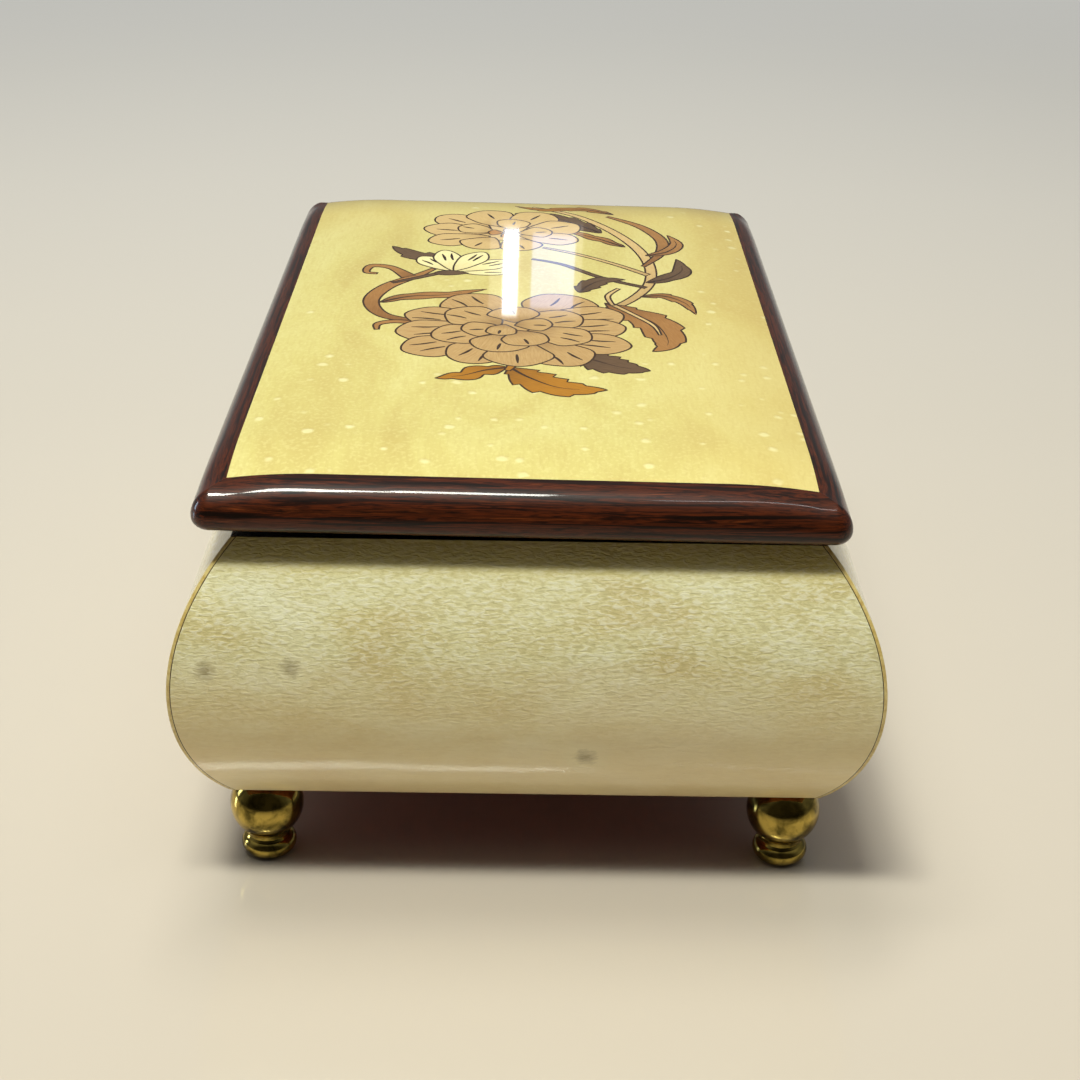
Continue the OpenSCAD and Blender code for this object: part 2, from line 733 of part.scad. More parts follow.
module spring_barrel() {
  wall = 1;
  color("#c8ad62") in_movement() translate([barrel_x, 0, barrel_z]) difference() {
    union() {
      cylinder(d = barrel_d, h = barrel_h);
      intersection() {
        difference() {
          cylinder(r = crown_r + 1.1, h = barrel_h + crown_h);
          cylinder(r = crown_r - 1.1, h = far, center = true);
        }
        union() {
          cylinder(r = far, h = barrel_h);
          for (i = [0:crown_n - 1]) rotate(360 * (i + 0.5) / crown_n) rotate([90, 0, 90])
            linear_extrude(far) polygon([
              [-0.22 * PI * crown_m, barrel_h - eps], [-0.11 * PI * crown_m, barrel_h + crown_h],
              [0.11 * PI * crown_m, barrel_h + crown_h], [0.22 * PI * crown_m, barrel_h - eps]
            ]);
        }
      }
    }
    translate([0, 0, wall]) difference() {
      cylinder(d = barrel_d - 2 * wall, h = barrel_h - 2 * wall);
      cylinder(d = arbor_d + 2, h = far, center = true);
    }
    cylinder(d = arbor_d + 2 * run_c, h = far, center = true);
  }
}
// Flat spiral spring inside the barrel
module mainspring() {
  turns = 4;
  r0 = arbor_d / 2 + 1.4;
  r1 = barrel_d / 2 - 1.6;
  t = 0.4;
  steps = turns * 18;
  spiral = function(i, d) let (a = 20 * i, r = r0 + (r1 - r0) * i / steps + d) [r * cos(a), r * sin(a)];
  color("#6f7c88") in_movement() translate([barrel_x, 0, barrel_z + 1 + loose_c])
    linear_extrude(barrel_h - 2 - 2 * loose_c)
      polygon(concat([for (i = [0:steps]) spiral(i, 0)], [for (i = [steps:-1:0]) spiral(i, t)]));
}
module winding_arbor() {
  bottom = key_z - floor_z - hub_h + 1;
  top = barrel_z + barrel_h + crown_h + 0.6;
  color("#d3d0c6") in_movement() {
    translate([barrel_x, 0, bottom]) cylinder(d = arbor_d, h = top - bottom);
    translate([barrel_x, 0, barrel_z + barrel_h + loose_c / 2]) cylinder(d = arbor_d + 2, h = 0.8);
  }
}
// Butterfly key with two ring-shaped wings
module winding_key() {
  wing_r = (key_h - 2) / 2;
  wing_x = key_w / 2 - wing_r;
  color("#b9973f") in_movement() translate([barrel_x, 0, key_z - floor_z]) difference() {
    union() {
      translate([0, 0, -hub_h]) cylinder(d = hub_d, h = hub_h);
      translate([0, 0, -key_h + wing_r]) rotate([90, 0, 0]) linear_extrude(wing_t, center = true) {
        for (s = [-1, 1]) translate([s * wing_x, 0]) circle(r = wing_r);
        translate([-wing_x, -2]) square([2 * wing_x, 5]);
      }
    }
    for (s = [-1, 1]) translate([s * (wing_x + 1), 0, -key_h + wing_r]) rotate([90, 0, 0])
      cylinder(r = wing_r - 2.6, h = far, center = true);
    translate([0, 0, -hub_h + 1]) cylinder(d = arbor_d, h = far);
  }
}

module pin_cylinder() {
  track = drum_l / comb_n;
  color("#caa74e") in_movement() lay_along_x(drum_x, drum_z) {
    difference() {
      cylinder(d = drum_d, h = drum_l, center = true);
      cylinder(d = drum_arbor_d, h = far, center = true);
    }
    for (i = [0:comb_n - 1], k = [0:2]) rotate(i * 137.5 + k * 103 + 11)
      translate([drum_d / 2 - 0.3, 0, -drum_l / 2 + (i + 0.5) * track]) rotate([0, 90, 0])
        cylinder(d = 0.45, h = 0.3 + pin_h, $fn = 16);
  }
}
// Arbor of the pinned cylinder, with the pinion that the barrel drives and the wheel that drives the governor
module cylinder_arbor() {
  x0 = left_x - bracket_t / 2 - 0.6;
  x1 = drum_pinion_x + 1.2;
  color("#d9bd70") in_movement() {
    lay_along_x(x0, drum_z) cylinder(d = drum_arbor_d, h = x1 - x0);
    lay_along_x(drum_pinion_x - 0.8, drum_z) rotate(180) linear_extrude(1.6) difference() {
      gear_2d(pinion_n, crown_m);
      circle(d = drum_arbor_d);
    }
    lay_along_x(wheel_x - 0.6, drum_z) linear_extrude(1.2) difference() {
      gear_2d(wheel_n, train_m);
      circle(d = drum_arbor_d);
    }
  }
}
// Arbor with the pinion that the cylinder's wheel turns and the wheel that turns the worm
module transfer_arbor() {
  x0 = left_x - bracket_t / 2 - 0.5;
  x1 = train_post_x + bracket_t / 2 + 0.5;
  color("#d9bd70") in_movement() translate([0, train_y, 0]) {
    lay_along_x(x0, drum_z) cylinder(d = train_arbor_d, h = x1 - x0);
    lay_along_x(wheel_x - 0.9, drum_z) rotate(180 / pinion_n) linear_extrude(1.8) difference() {
      gear_2d(pinion_n, train_m);
      circle(d = train_arbor_d);
    }
    lay_along_x(worm_wheel_x - 0.5, drum_z) linear_extrude(1) difference() {
      gear_2d(worm_n, worm_m);
      circle(d = train_arbor_d);
    }
  }
}
// Worm spindle with the two-vaned fly that brakes the train
module governor() {
  z0 = bed_t / 2 + 0.3;
  turns = 3;
  root = worm_r - 1.2 * worm_m;
  color("#cfd2d4") in_movement() translate([worm_wheel_x, worm_y, 0]) {
    translate([0, 0, z0]) cylinder(d = spindle_d, h = cock_z + cock_t + 0.4 - z0);
    translate([0, 0, drum_z - 4.4]) cylinder(r = root, h = 8.8);
    translate([0, 0, drum_z - turns * worm_lead / 2])
      helix([[root - 0.2, -0.42], [root - 0.2, 0.42], [worm_r + 0.5, 0.2], [worm_r + 0.5, -0.2]],
        worm_lead, turns, -90);
    translate([0, 0, fly_z]) {
      cylinder(d = 3, h = fly_h);
      rotate(90) translate([-fly_r, -0.2, 0]) cube([2 * fly_r, 0.4, fly_h]);
    }
  }
}

// ---- Stop: the lid's lining holds the rod down, and the arm then brakes the fly ----

module rod_guide() {
  color("#b7b1a0") in_movement() translate([rod_x, worm_y, 0]) difference() {
    union() {
      translate([-guide_l / 2, -guide_w / 2, 0]) cube([guide_l, guide_w, guide_t]);
      cylinder(d = rod_d + 2.4, h = guide_h);
    }
    translate([0, 0, -eps]) cylinder(d = rod_d + 2 * run_c, h = far);
  }
}
module stop_rod() {
  // The rod ends just under the lining of the lid at rest
  reach = hinge_y - (mv_y + rod_x);
  top = lid_z - lid_pad_t + reach * tan(lid_ajar) - loose_c - floor_z;
  x = worm_wheel_x - 4.2;
  color("#d3d0c6") in_movement() translate([rod_x, worm_y, 0]) {
    translate([0, 0, 2]) cylinder(d = rod_d, h = top - 2);
    translate([0, -1.5, arm_z]) cube([x - rod_x, 3, arm_t]);
    translate([0, 0, arm_z]) cylinder(d = rod_d + 2.4, h = arm_t);
  }
}
module stop_spring() {
  z0 = guide_h + 0.2;
  turns = 4;
  wire = 0.25;
  coil_r = rod_d / 2 + 0.9;
  lead = (arm_z - z0 - 2 * wire - 0.2) / turns;
  color("#9aa0a4") in_movement() translate([rod_x, worm_y, z0 + wire])
    helix([for (a = [0:60:300]) [coil_r + wire * cos(a), wire * sin(a)]], lead, turns, 0, 16);
}

front_panel();
back_panel();
left_end_panel();
right_end_panel();
front_veneer();
back_veneer();
left_end_veneer();
right_end_veneer();
base_board();
foot_front_left();
foot_front_right();
foot_back_left();
foot_back_right();
lid_core();
lid_veneer();
lid_border_front();
lid_border_back();
lid_border_left();
lid_border_right();
inlay_rose();
inlay_blossoms();
inlay_leaves();
inlay_stems();
lid_pad();
left_hinge_case_leaf();
right_hinge_case_leaf();
left_hinge_lid_leaf();
right_hinge_lid_leaf();
hinge_pins();
hinge_case_screws();
hinge_lid_screws();
lining_floor();
lining_front();
lining_back();
lining_end();
lining_partition();
partition();
cover_ledge();
clear_cover();
ring_block();
ring_rolls();
bedplate();
bedplate_screws();
comb();
comb_screws();
governor_cock();
spring_barrel();
mainspring();
winding_arbor();
winding_key();
pin_cylinder();
cylinder_arbor();
transfer_arbor();
governor();
rod_guide();
stop_rod();
stop_spring();
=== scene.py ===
import math
import random

import bmesh
import bpy
import numpy as np
from mathutils import Matrix, Vector
from mathutils.geometry import delaunay_2d_cdt


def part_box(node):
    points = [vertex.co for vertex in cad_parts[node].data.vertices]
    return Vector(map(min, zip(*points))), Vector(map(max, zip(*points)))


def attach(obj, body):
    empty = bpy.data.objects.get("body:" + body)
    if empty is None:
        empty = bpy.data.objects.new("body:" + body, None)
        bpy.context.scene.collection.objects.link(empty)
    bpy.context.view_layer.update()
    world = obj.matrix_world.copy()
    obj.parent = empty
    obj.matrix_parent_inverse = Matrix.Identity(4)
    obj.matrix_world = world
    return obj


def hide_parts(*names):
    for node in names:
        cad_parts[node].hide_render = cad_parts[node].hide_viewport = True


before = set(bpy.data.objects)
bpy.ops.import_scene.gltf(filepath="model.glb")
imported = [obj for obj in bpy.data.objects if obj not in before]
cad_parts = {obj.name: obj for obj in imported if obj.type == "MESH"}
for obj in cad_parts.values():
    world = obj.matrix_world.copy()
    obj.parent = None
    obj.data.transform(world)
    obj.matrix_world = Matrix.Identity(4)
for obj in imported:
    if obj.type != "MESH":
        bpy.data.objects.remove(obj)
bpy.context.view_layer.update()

bl_info = {
    "name": "Musical Jewellery Box",
    "version": (1, 0, 0),
    "blender": (4, 5, 0),
    "location": "View3D > Sidebar > Jewellery Box",
    "description": "Models the looks of an inlaid musical jewellery box round its CAD frame",
    "category": "Object",
}

MM = 0.001

# Sizes of the frame, in millimetres, as the CAD source has them
CASE_L, CASE_W = 217.0, 144.0
END_SHIFT = (CASE_L - CASE_W) / 2
BELLY_R, BELLY_Z = 44.0, 46.9
CASE_Z, RIM_Z = 19.4, 77.9
VENEER = 0.7
LID_T, BORDER_W, ROLL_W, ROLL_R = 11.7, 6.9, 18.0, 124.0
LID_GAP, LID_FORWARD, LID_AJAR = 2.0, 1.5, 0.55
LID_OVER = 5.8
RIM_T, FOOT_INSET = 8.0, 6.5
KNUCKLE_D, KNUCKLE_GAP = 1.9, 0.25
PAD_INSET, PAD_T = 4.5, 3.0


def bombe(z, inset=0.0):
    """Half depth of the bombe curve at height z, drawn in from its face by inset."""
    return CASE_W / 2 - BELLY_R + math.sqrt((BELLY_R - inset) ** 2 - (z - BELLY_Z) ** 2)


RIM_HALF = bombe(RIM_Z)
INNER_Y = RIM_HALF - RIM_T
INNER_X = INNER_Y + END_SHIFT
FOOT_Y = bombe(CASE_Z) - FOOT_INSET
FOOT_X = FOOT_Y + END_SHIFT
HINGE_Y, HINGE_Z = RIM_HALF + KNUCKLE_GAP + KNUCKLE_D / 2, RIM_Z + LID_GAP / 2
LID_W = 2 * (RIM_HALF + LID_OVER)
LID_L = LID_W + 2 * END_SHIFT
PANEL_X, PANEL_Y = LID_L / 2 - BORDER_W, LID_W / 2 - BORDER_W
ROLL_A = math.asin(ROLL_W / ROLL_R)
BULL_R = BORDER_W / (1 - math.sin(ROLL_A))
BULL_Z = LID_T - ROLL_R * (1 - math.cos(ROLL_A)) - BULL_R * math.cos(ROLL_A)

# The lid is drawn closed and level, then set where it rests
LID_REST = (
    Matrix.Translation((0, HINGE_Y * MM, HINGE_Z * MM))
    @ Matrix.Rotation(math.radians(-LID_AJAR), 4, "X")
    @ Matrix.Translation((0, -HINGE_Y * MM, -HINGE_Z * MM))
    @ Matrix.Translation((0, -LID_FORWARD * MM, (RIM_Z + LID_GAP) * MM))
)


# ---- Helpers ----


def linear(code):
    """An sRGB hex colour such as '#C9A07A' as linear RGBA."""
    parts = [int(code[i : i + 2], 16) / 255 for i in (1, 3, 5)]
    return (*[c / 12.92 if c <= 0.04045 else ((c + 0.055) / 1.055) ** 2.4 for c in parts], 1.0)


def put(tree, kind, links=(), out=0, stops=(), **settings):
    """Adds a shader node with its settings, and gives the output numbered or called out. links are values, hex
    colours or sockets for its inputs, in order or by name or number. stops are a ramp's (place, colour)."""
    made = tree.nodes.new(f"ShaderNode{kind}")
    for key, value in settings.items():
        setattr(made, key, value)
    for key, value in links.items() if isinstance(links, dict) else enumerate(links):
        if isinstance(value, bpy.types.NodeSocket):
            tree.links.new(value, made.inputs[key])
        else:
            made.inputs[key].default_value = linear(value) if isinstance(value, str) else value
    while stops and len(made.color_ramp.elements) < len(stops):
        made.color_ramp.elements.new(0.5)
    for k, (at, colour) in enumerate(stops):
        made.color_ramp.elements[k].position = at
        made.color_ramp.elements[k].color = linear(colour) if isinstance(colour, str) else colour
    return made.outputs[out] if made.outputs else None


def material(name):
    """A new material's node tree, empty."""
    made = bpy.data.materials.new(name)
    made.use_nodes = True
    made.node_tree.nodes.clear()
    return made.node_tree


def surface(tree, links):
    """Ends a material's tree in a principled shader with these inputs."""
    put(tree, "OutputMaterial", [put(tree, "BsdfPrincipled", links)])


def place(tree, scale=(1, 1, 1), turn=(0, 0, 0), uv=False):
    """Object or UV coordinates in millimetres, turned and scaled."""
    unit = 1 if uv else 1 / MM
    source = put(tree, "TexCoord", out="UV" if uv else "Object")
    sized = put(tree, "VectorMath", [source, (unit, unit, unit)], operation="MULTIPLY")
    return put(tree, "Mapping", {"Vector": sized, "Rotation": turn, "Scale": scale})


def patches(tree, size, detail=3.0, rough=0.5, distort=0.0, scale=(1, 1, 1), turn=(0, 0, 0), uv=False):
    """Cloudy patches about size millimetres across, drawn out along an axis whose scale is under 1."""
    return put(tree, "TexNoise", {"Vector": place(tree, scale, turn, uv), "Scale": 1 / size, "Detail": detail,
                                  "Roughness": rough, "Distortion": distort})


def grained(axis, share):
    """The scale that draws a pattern out along the grain, which runs along x or y."""
    return (share, 1, 1) if axis == "x" else (1, share, 1)


def layers(tree, base, *coats):
    """Lays colours over a base. Each coat is (value, start, end, share at start, share at end, colour)."""
    for value, start, end, first, last, colour in coats:
        share = put(tree, "MapRange", [value, start, end, first, last])
        base = put(tree, "Mix", {0: share, 6: base, 7: colour}, 2, data_type="RGBA")
    return base


def pick(*pieces):
    """Leaves edit mode and selects these pieces alone, the first one active."""
    if bpy.context.object and bpy.context.object.mode != "OBJECT":
        bpy.ops.object.mode_set(mode="OBJECT")
    bpy.ops.object.select_all(action="DESELECT")
    for piece in pieces:
        piece.select_set(True)
    if pieces:
        bpy.context.view_layer.objects.active = pieces[0]


def fresh(name, add, **size):
    """Adds a primitive with nothing else selected, and names it."""
    pick()
    add(**size)
    piece = bpy.context.object
    piece.name = piece.data.name = name
    return piece


def edit(piece, select=None, mode="FACE"):
    """Enters edit mode on piece with everything selected, or only the faces or edges that select picks."""
    pick(piece)
    bpy.ops.object.mode_set(mode="EDIT")
    bpy.ops.mesh.select_mode(type=mode)
    bpy.ops.mesh.select_all(action="DESELECT" if select else "SELECT")
    if select:
        mesh = bmesh.from_edit_mesh(piece.data)
        for part in mesh.edges if mode == "EDGE" else mesh.faces:
            part.select = bool(select(part))
        mesh.select_flush_mode()
        bmesh.update_edit_mesh(piece.data)


def done(piece, smooth=35.0):
    """Leaves edit mode with normals outwards and the place in the mesh."""
    pick(piece)
    bpy.ops.object.mode_set(mode="EDIT")
    bpy.ops.mesh.select_all(action="SELECT")
    bpy.ops.mesh.normals_make_consistent(inside=False)
    bpy.ops.object.mode_set(mode="OBJECT")
    bpy.ops.object.transform_apply(location=True, rotation=True, scale=True)
    bpy.ops.object.shade_smooth_by_angle(angle=math.radians(smooth))
    piece.select_set(False)
    return piece


def bevel(piece, width, segments=2, angle=None):
    """Rounds a piece's edges over width millimetres, all of them or those sharper than angle degrees."""
    pick(piece)
    made = piece.modifiers.new("Bevel", "BEVEL")
    made.width, made.segments = width * MM, segments
    made.limit_method = "ANGLE" if angle else "NONE"
    if angle:
        made.angle_limit = math.radians(angle)
    bpy.ops.object.modifier_apply(modifier=made.name)


def join(name, pieces):
    """Joins pieces into one, each with its own material slots kept."""
    pick(*pieces)
    bpy.ops.object.join()
    pieces[0].name = pieces[0].data.name = name
    return pieces[0]


def clothe(piece, *stuffs):
    """Gives a piece these materials, and no others. A piece without any keeps its faces' material numbers."""
    if piece.data.materials:
        piece.data.materials.clear()
    for stuff in stuffs:
        piece.data.materials.append(bpy.data.materials[stuff])


def finish(piece, body, slot, *nodes, stuff=None):
    """Gives a piece its material and body, and hides the CAD nodes that it stands for. slot is not used."""
    if stuff is not None:
        clothe(piece, stuff)
    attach(piece, body)
    if nodes:
        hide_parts(*nodes)


def made_of(name, mesh):
    """Turns a bmesh into a new piece."""
    data = bpy.data.meshes.new(name)
    mesh.to_mesh(data)
    mesh.free()
    piece = bpy.data.objects.new(name, data)
    bpy.context.scene.collection.objects.link(piece)
    return piece


def loft(name, levels):
    """Raises a rectangle through levels of (z, x0, x1, y0, y1): extruded up, then stretched, level by level."""
    z, x0, x1, y0, y1 = levels[0]
    piece = fresh(name, bpy.ops.mesh.primitive_plane_add, size=MM,
                  location=((x0 + x1) / 2 * MM, (y0 + y1) / 2 * MM, z * MM))
    piece.scale = (x1 - x0, y1 - y0, 1)
    bpy.ops.object.transform_apply(location=True, rotation=True, scale=True)
    edit(piece)
    for z2, a0, a1, b0, b1 in levels[1:]:
        move = ((a0 + a1 - x0 - x1) / 2 * MM, (b0 + b1 - y0 - y1) / 2 * MM, (z2 - z) * MM)
        bpy.ops.mesh.extrude_region_move(TRANSFORM_OT_translate={"value": move})
        bpy.ops.transform.resize(
            value=((a1 - a0) / (x1 - x0), (b1 - b0) / (y1 - y0), 1),
            center_override=((a0 + a1) / 2 * MM, (b0 + b1) / 2 * MM, z2 * MM))
        z, x0, x1, y0, y1 = z2, a0, a1, b0, b1
    return done(piece)


# ---- Finishes ----

# Hand-rubbed polyester lacquer: a thick clear coat, nearly sharp, over wood that has little shine of its own
LACQUER = {"Coat Weight": 1.0, "Coat Roughness": 0.03, "Coat IOR": 1.5, "Specular IOR Level": 0.12}


def rim_shade_and_underside_stain(tree, colour):
    """The colour, but painted near black on the case's rim, as shade in the gap under the lid, and stained
    red-brown on its underside.
    """
    height = put(tree, "SeparateXYZ", [place(tree)], "Z")
    return layers(tree, colour, (height, RIM_Z - 0.15, RIM_Z - 0.05, 0, 1, "#160E08"),
                  (height, CASE_Z + 0.15, CASE_Z + 0.05, 0, 1, "#8A3A20"))


def case_maple(name, axis, tone, knots):
    """Curly maple veneer, sliced and lacquered: a silky scale of fine short ripples, bumped, with a painted
    highlight on them and painted shade beside them, over broad cloudy figure with a few pin knots. axis is the
    grain's direction, and each knot is (side, along, z)."""
    tree = material(name)
    even = place(tree)
    height = put(tree, "SeparateXYZ", [even], "Z")
    fleck = patches(tree, 0.6, 2.5, 0.5, 0.5, grained(axis, 0.38))
    fibre = patches(tree, 0.5, 3.0, 0.6, 0.0, grained(axis, 0.08))
    cloud = patches(tree, 21, 3.0, 0.6, 0.8, grained(axis, 0.6))
    stain = patches(tree, 34, 4.0, 0.65, 1.0, grained(axis, 0.35))
    # The ripples carry a painted highlight and painted shade, strongest on the upper half of the swell where the
    # light from above falls, and the leaf is painted paler and warmer towards its foot, as light bounced up from
    # the table
    painted_ripple_highlight, painted_ripple_shade = (
        put(tree, "Math", [put(tree, "MapRange", [fleck, start, end]),
                           put(tree, "MapRange", [height, 34, 60, low, high])], operation="MULTIPLY")
        for start, end, low, high in ((0.48, 0.64, 0.08, 0.55), (0.49, 0.36, 0.05, 0.3)))
    base = put(tree, "ValToRGB", [cloud], stops=((0.32, "#E4D69A"), (0.5, tone), (0.68, "#F7F4CC")))
    base = layers(tree, base, (stain, 0.5, 0.7, 0, 0.5, "#D0B482"), (fibre, 0.45, 0.75, 0, 0.16, "#B5A06C"),
                  (painted_ripple_highlight, 0, 1, 0, 1, "#FFFCE6"), (painted_ripple_shade, 0, 1, 0, 1, "#B8AB70"),
                  # Painted bounce light: paler and warmer towards the foot
                  (height, 30, 58, 0.6, 0, "#FFE5B0"),
                  # Painted shade under the lid's edge: darker and more olive there
                  (height, 71.5, 75, 0, 0.65, "#D6C268"))
    for side, along, z in knots:
        at = (along, side * bombe(z), z) if axis == "x" else (side * (bombe(z) + END_SHIFT), along, z)
        near = put(tree, "VectorMath", [even, at], "Value", operation="DISTANCE")
        near = put(tree, "Math", [fleck, 3.0, near], operation="MULTIPLY_ADD")
        base = layers(tree, base, (near, 7.5, 3.5, 0, 0.3, "#FBF6D0"), (near, 4.2, 1.8, 0, 0.6, "#857044"))
    # The rim's near black is painted shade under the lid
    surface(tree, {**LACQUER, "Base Color": rim_shade_and_underside_stain(tree, base), "Roughness": 0.38,
                   "Normal": put(tree, "Bump", {"Height": fleck, "Strength": 1.0, "Distance": 0.22 * MM})})


def lid_maple(name, tone):
    """Bird's-eye maple veneer under thick gloss: honey yellow, with broad amber clouds along the grain, a fine
    silky figure and small pale eyes that crowd towards one end and one side."""
    tree = material(name)
    even = place(tree)
    x, y = (put(tree, "SeparateXYZ", [even], way) for way in "XY")
    cloud = patches(tree, 24, 3.0, 0.55, 0.8, (0.4, 1, 1))
    silk = patches(tree, 0.8, 4.0, 0.6, 0.6, (0.2, 1, 1))
    # The leaf is amber on the hinge side and at the far end; its eyes crowd on the hinge side and at the near end
    amber, crowd = (
        put(tree, "Math", [put(tree, "MapRange", [y, *across]), put(tree, "MapRange", [x, *along])],
            operation="MAXIMUM")
        for across, along in (((18, 54), (-45, -95)), ((28, 44), (38, 62))))
    base = put(tree, "ValToRGB", [cloud], stops=((0.3, "#CBB86E"), (0.47, tone), (0.68, "#DFD68E")))
    base = layers(tree, base, (silk, 0.46, 0.7, 0, 0.42, "#C9B46A"),
                  (patches(tree, 0.9, 2.0), 0.5, 0.66, 0, 0.3, "#E8E09C"), (amber, 0, 1, 0, 0.45, "#D2B56A"))
    ragged = put(tree, "TexNoise", {"Vector": even, "Scale": 1 / 1.6, "Detail": 2.0}, "Color")
    # Each eye is a tiny pit in a cell of 5 mm: painted shade on its far side, then a pale floor
    for shift, share, colour in ((0.55, 0.5, "#B39C58"), (0.0, 0.9, "#F8F3BC")):
        at = put(tree, "VectorMath", [ragged, (1.1, 1.1, 0.0), (shift, 0.0, 0.0)], operation="MULTIPLY_ADD")
        at = put(tree, "VectorMath", [even, at], operation="ADD")
        cell = put(tree, "TexVoronoi", {"Vector": at, "Scale": 1 / 5.0, "Randomness": 1.0}, "Color")
        pick_by, size_by, pale_by = (put(tree, "SeparateColor", [cell], k) for k in range(3))
        likely = put(tree, "Math", [crowd, 0.5, pick_by], operation="MULTIPLY_ADD")
        picked = put(tree, "Math", [likely, 0.92], operation="GREATER_THAN")
        near = put(tree, "Math", [size_by, -0.12, cell.node.outputs["Distance"]], operation="MULTIPLY_ADD")
        near, pale = put(tree, "MapRange", [near, 0.18, 0.04]), put(tree, "MapRange", [pale_by, 0, 1, 0.35, 1])
        eye = put(tree, "Math", [near, pale], operation="MULTIPLY")
        eye = put(tree, "Math", [eye, picked], operation="MULTIPLY")
        base = layers(tree, base, (eye, 0, 1, 0, share, colour))
    surface(tree, {**LACQUER, "Base Color": base, "Roughness": 0.45})


def rosewood(name, axis, tone):
    """Rosewood moulding, sawn along the grain and lacquered thinner than the panels: near black lines that
    waver between red-brown ones, with short open pores."""
    tree = material(name)
    grain = patches(tree, 1.5, 5.0, 0.68, 1.2, grained(axis, 0.03))
    pores = patches(tree, 0.45, 2.0, 0.6, 0.0, grained(axis, 0.1))
    base = put(tree, "ValToRGB", [grain], stops=(
        (0.36, "#120804"), (0.46, "#281007"), (0.53, tone), (0.6, "#321407"), (0.7, "#723616")))
    surface(tree, {"Base Color": layers(tree, base, (pores, 0.52, 0.68, 0, 0.8, "#120705")), "Roughness": 0.4,
                   "Normal": put(tree, "Bump", {"Height": pores, "Strength": 0.06, "Distance": 0.03 * MM}),
                   "Coat Weight": 0.75, "Coat Roughness": 0.05, "Coat IOR": 1.33, "Specular IOR Level": 0.15})


def inlay_wood(name, pale, mid, dark, burn):
    """Marquetry veneer under the lid's gloss, its grain along the piece, browned at the base in hot sand."""
    tree = material(name)
    grain = patches(tree, 0.45, 4.0, 0.6, 0.3, (0.14, 1, 1), uv=True)
    along, tone = (put(tree, "SeparateXYZ", [put(tree, "UVMap", uv_map="shade")], way) for way in "XY")
    edge = put(tree, "Math", [patches(tree, 3.5, uv=True), 0.25, along], operation="MULTIPLY_ADD")
    base = put(tree, "ValToRGB", [grain], stops=((0.3, mid), (0.7, pale)))
    # Each piece is cut from its own leaf of veneer, so its tone differs
    base = layers(tree, base, (tone, 0, 1, 0, 0.4, mid), (edge, 0.05, 0.62, burn, 0, dark))
    surface(tree, {**LACQUER, "Base Color": base, "Roughness": 0.45})


def plain_wood(name, pale, dark, axis, rough=0.5, coat=0.0):
    """Straight-grained board, planed and sealed: long soft streaks and fine pores."""
    tree = material(name)
    grain = patches(tree, 1.6, 4.0, 0.6, 0.5, grained(axis, 0.05))
    # The rim's near black is painted shade under the lid
    base = rim_shade_and_underside_stain(tree, put(tree, "ValToRGB", [grain], stops=((0.3, dark), (0.65, pale))))
    surface(tree, {"Base Color": base, "Roughness": rough, "Coat Weight": coat, "Coat Roughness": 0.15,
                   "Normal": put(tree, "Bump", {"Height": grain, "Strength": 0.15, "Distance": 0.08 * MM})})


def metal(name, pale, dark, rough, patch=4.0, worn=0.35, turned=False):
    """Bare metal: turned or stamped and polished, with a thin cloudy tarnish that dulls it in patches."""
    tree = material(name)
    cloud = patches(tree, patch, 4.0, 0.6, 0.4)
    fine = patches(tree, 0.35, 2.0, scale=(0.1, 0.1, 1) if turned else (1, 1, 1))
    base = put(tree, "ValToRGB", [cloud], stops=((0.36, dark), (0.6, pale)))
    surface(tree, {"Base Color": base, "Metallic": 1.0,
                   "Roughness": put(tree, "MapRange", [cloud, 0.3, 0.7, rough + worn * 0.3, rough]),
                   "Normal": put(tree, "Bump", {"Height": fine, "Strength": 0.05, "Distance": 0.02 * MM})})


def velvet(name, pale, deep):
    """Short-pile cotton velvet: deep red with a pale sheen where the pile leans, and a fine pile grain drawn
    at 0.5 mm so that it shows."""
    tree = material(name)
    pile = patches(tree, 0.5, 3.0, 0.7)
    lean = put(tree, "Math", [patches(tree, 16, 3.0, 0.6, 1.2), 0.45], operation="MULTIPLY")
    both = put(tree, "Math", [pile, 0.55, lean], operation="MULTIPLY_ADD")
    base = put(tree, "ValToRGB", [both], stops=((0.36, deep), (0.62, pale)))
    surface(tree, {"Base Color": base, "Roughness": 0.9, "Specular IOR Level": 0.15,
                   "Sheen Weight": 0.6, "Sheen Roughness": 0.35, "Sheen Tint": "#E8808C",
                   "Normal": put(tree, "Bump", {"Height": pile, "Strength": 0.5, "Distance": 0.25 * MM})})


def acrylic(name):
    """Clear cast acrylic sheet: water-clear, with a few hair scratches that catch the light."""
    tree = material(name)
    scratch = patches(tree, 0.5, 2.0, 0.6, 0.0, (0.03, 1, 1), (0, 0, 0.5))
    surface(tree, {"Base Color": "#F4F8F8", "Transmission Weight": 1.0, "IOR": 1.49,
                   "Roughness": put(tree, "MapRange", [scratch, 0.66, 0.74, 0.015, 0.16])})


def plain_glue(name):
    """The dark hide-glue line and dyed stringing between veneers, under the lacquer."""
    tree = material(name)
    base = put(tree, "ValToRGB", [patches(tree, 1.5, 2.0)], stops=((0.3, "#2B190C"), (0.7, "#43290F")))
    surface(tree, {**LACQUER, "Base Color": base, "Roughness": 0.45, "Coat Roughness": 0.05})


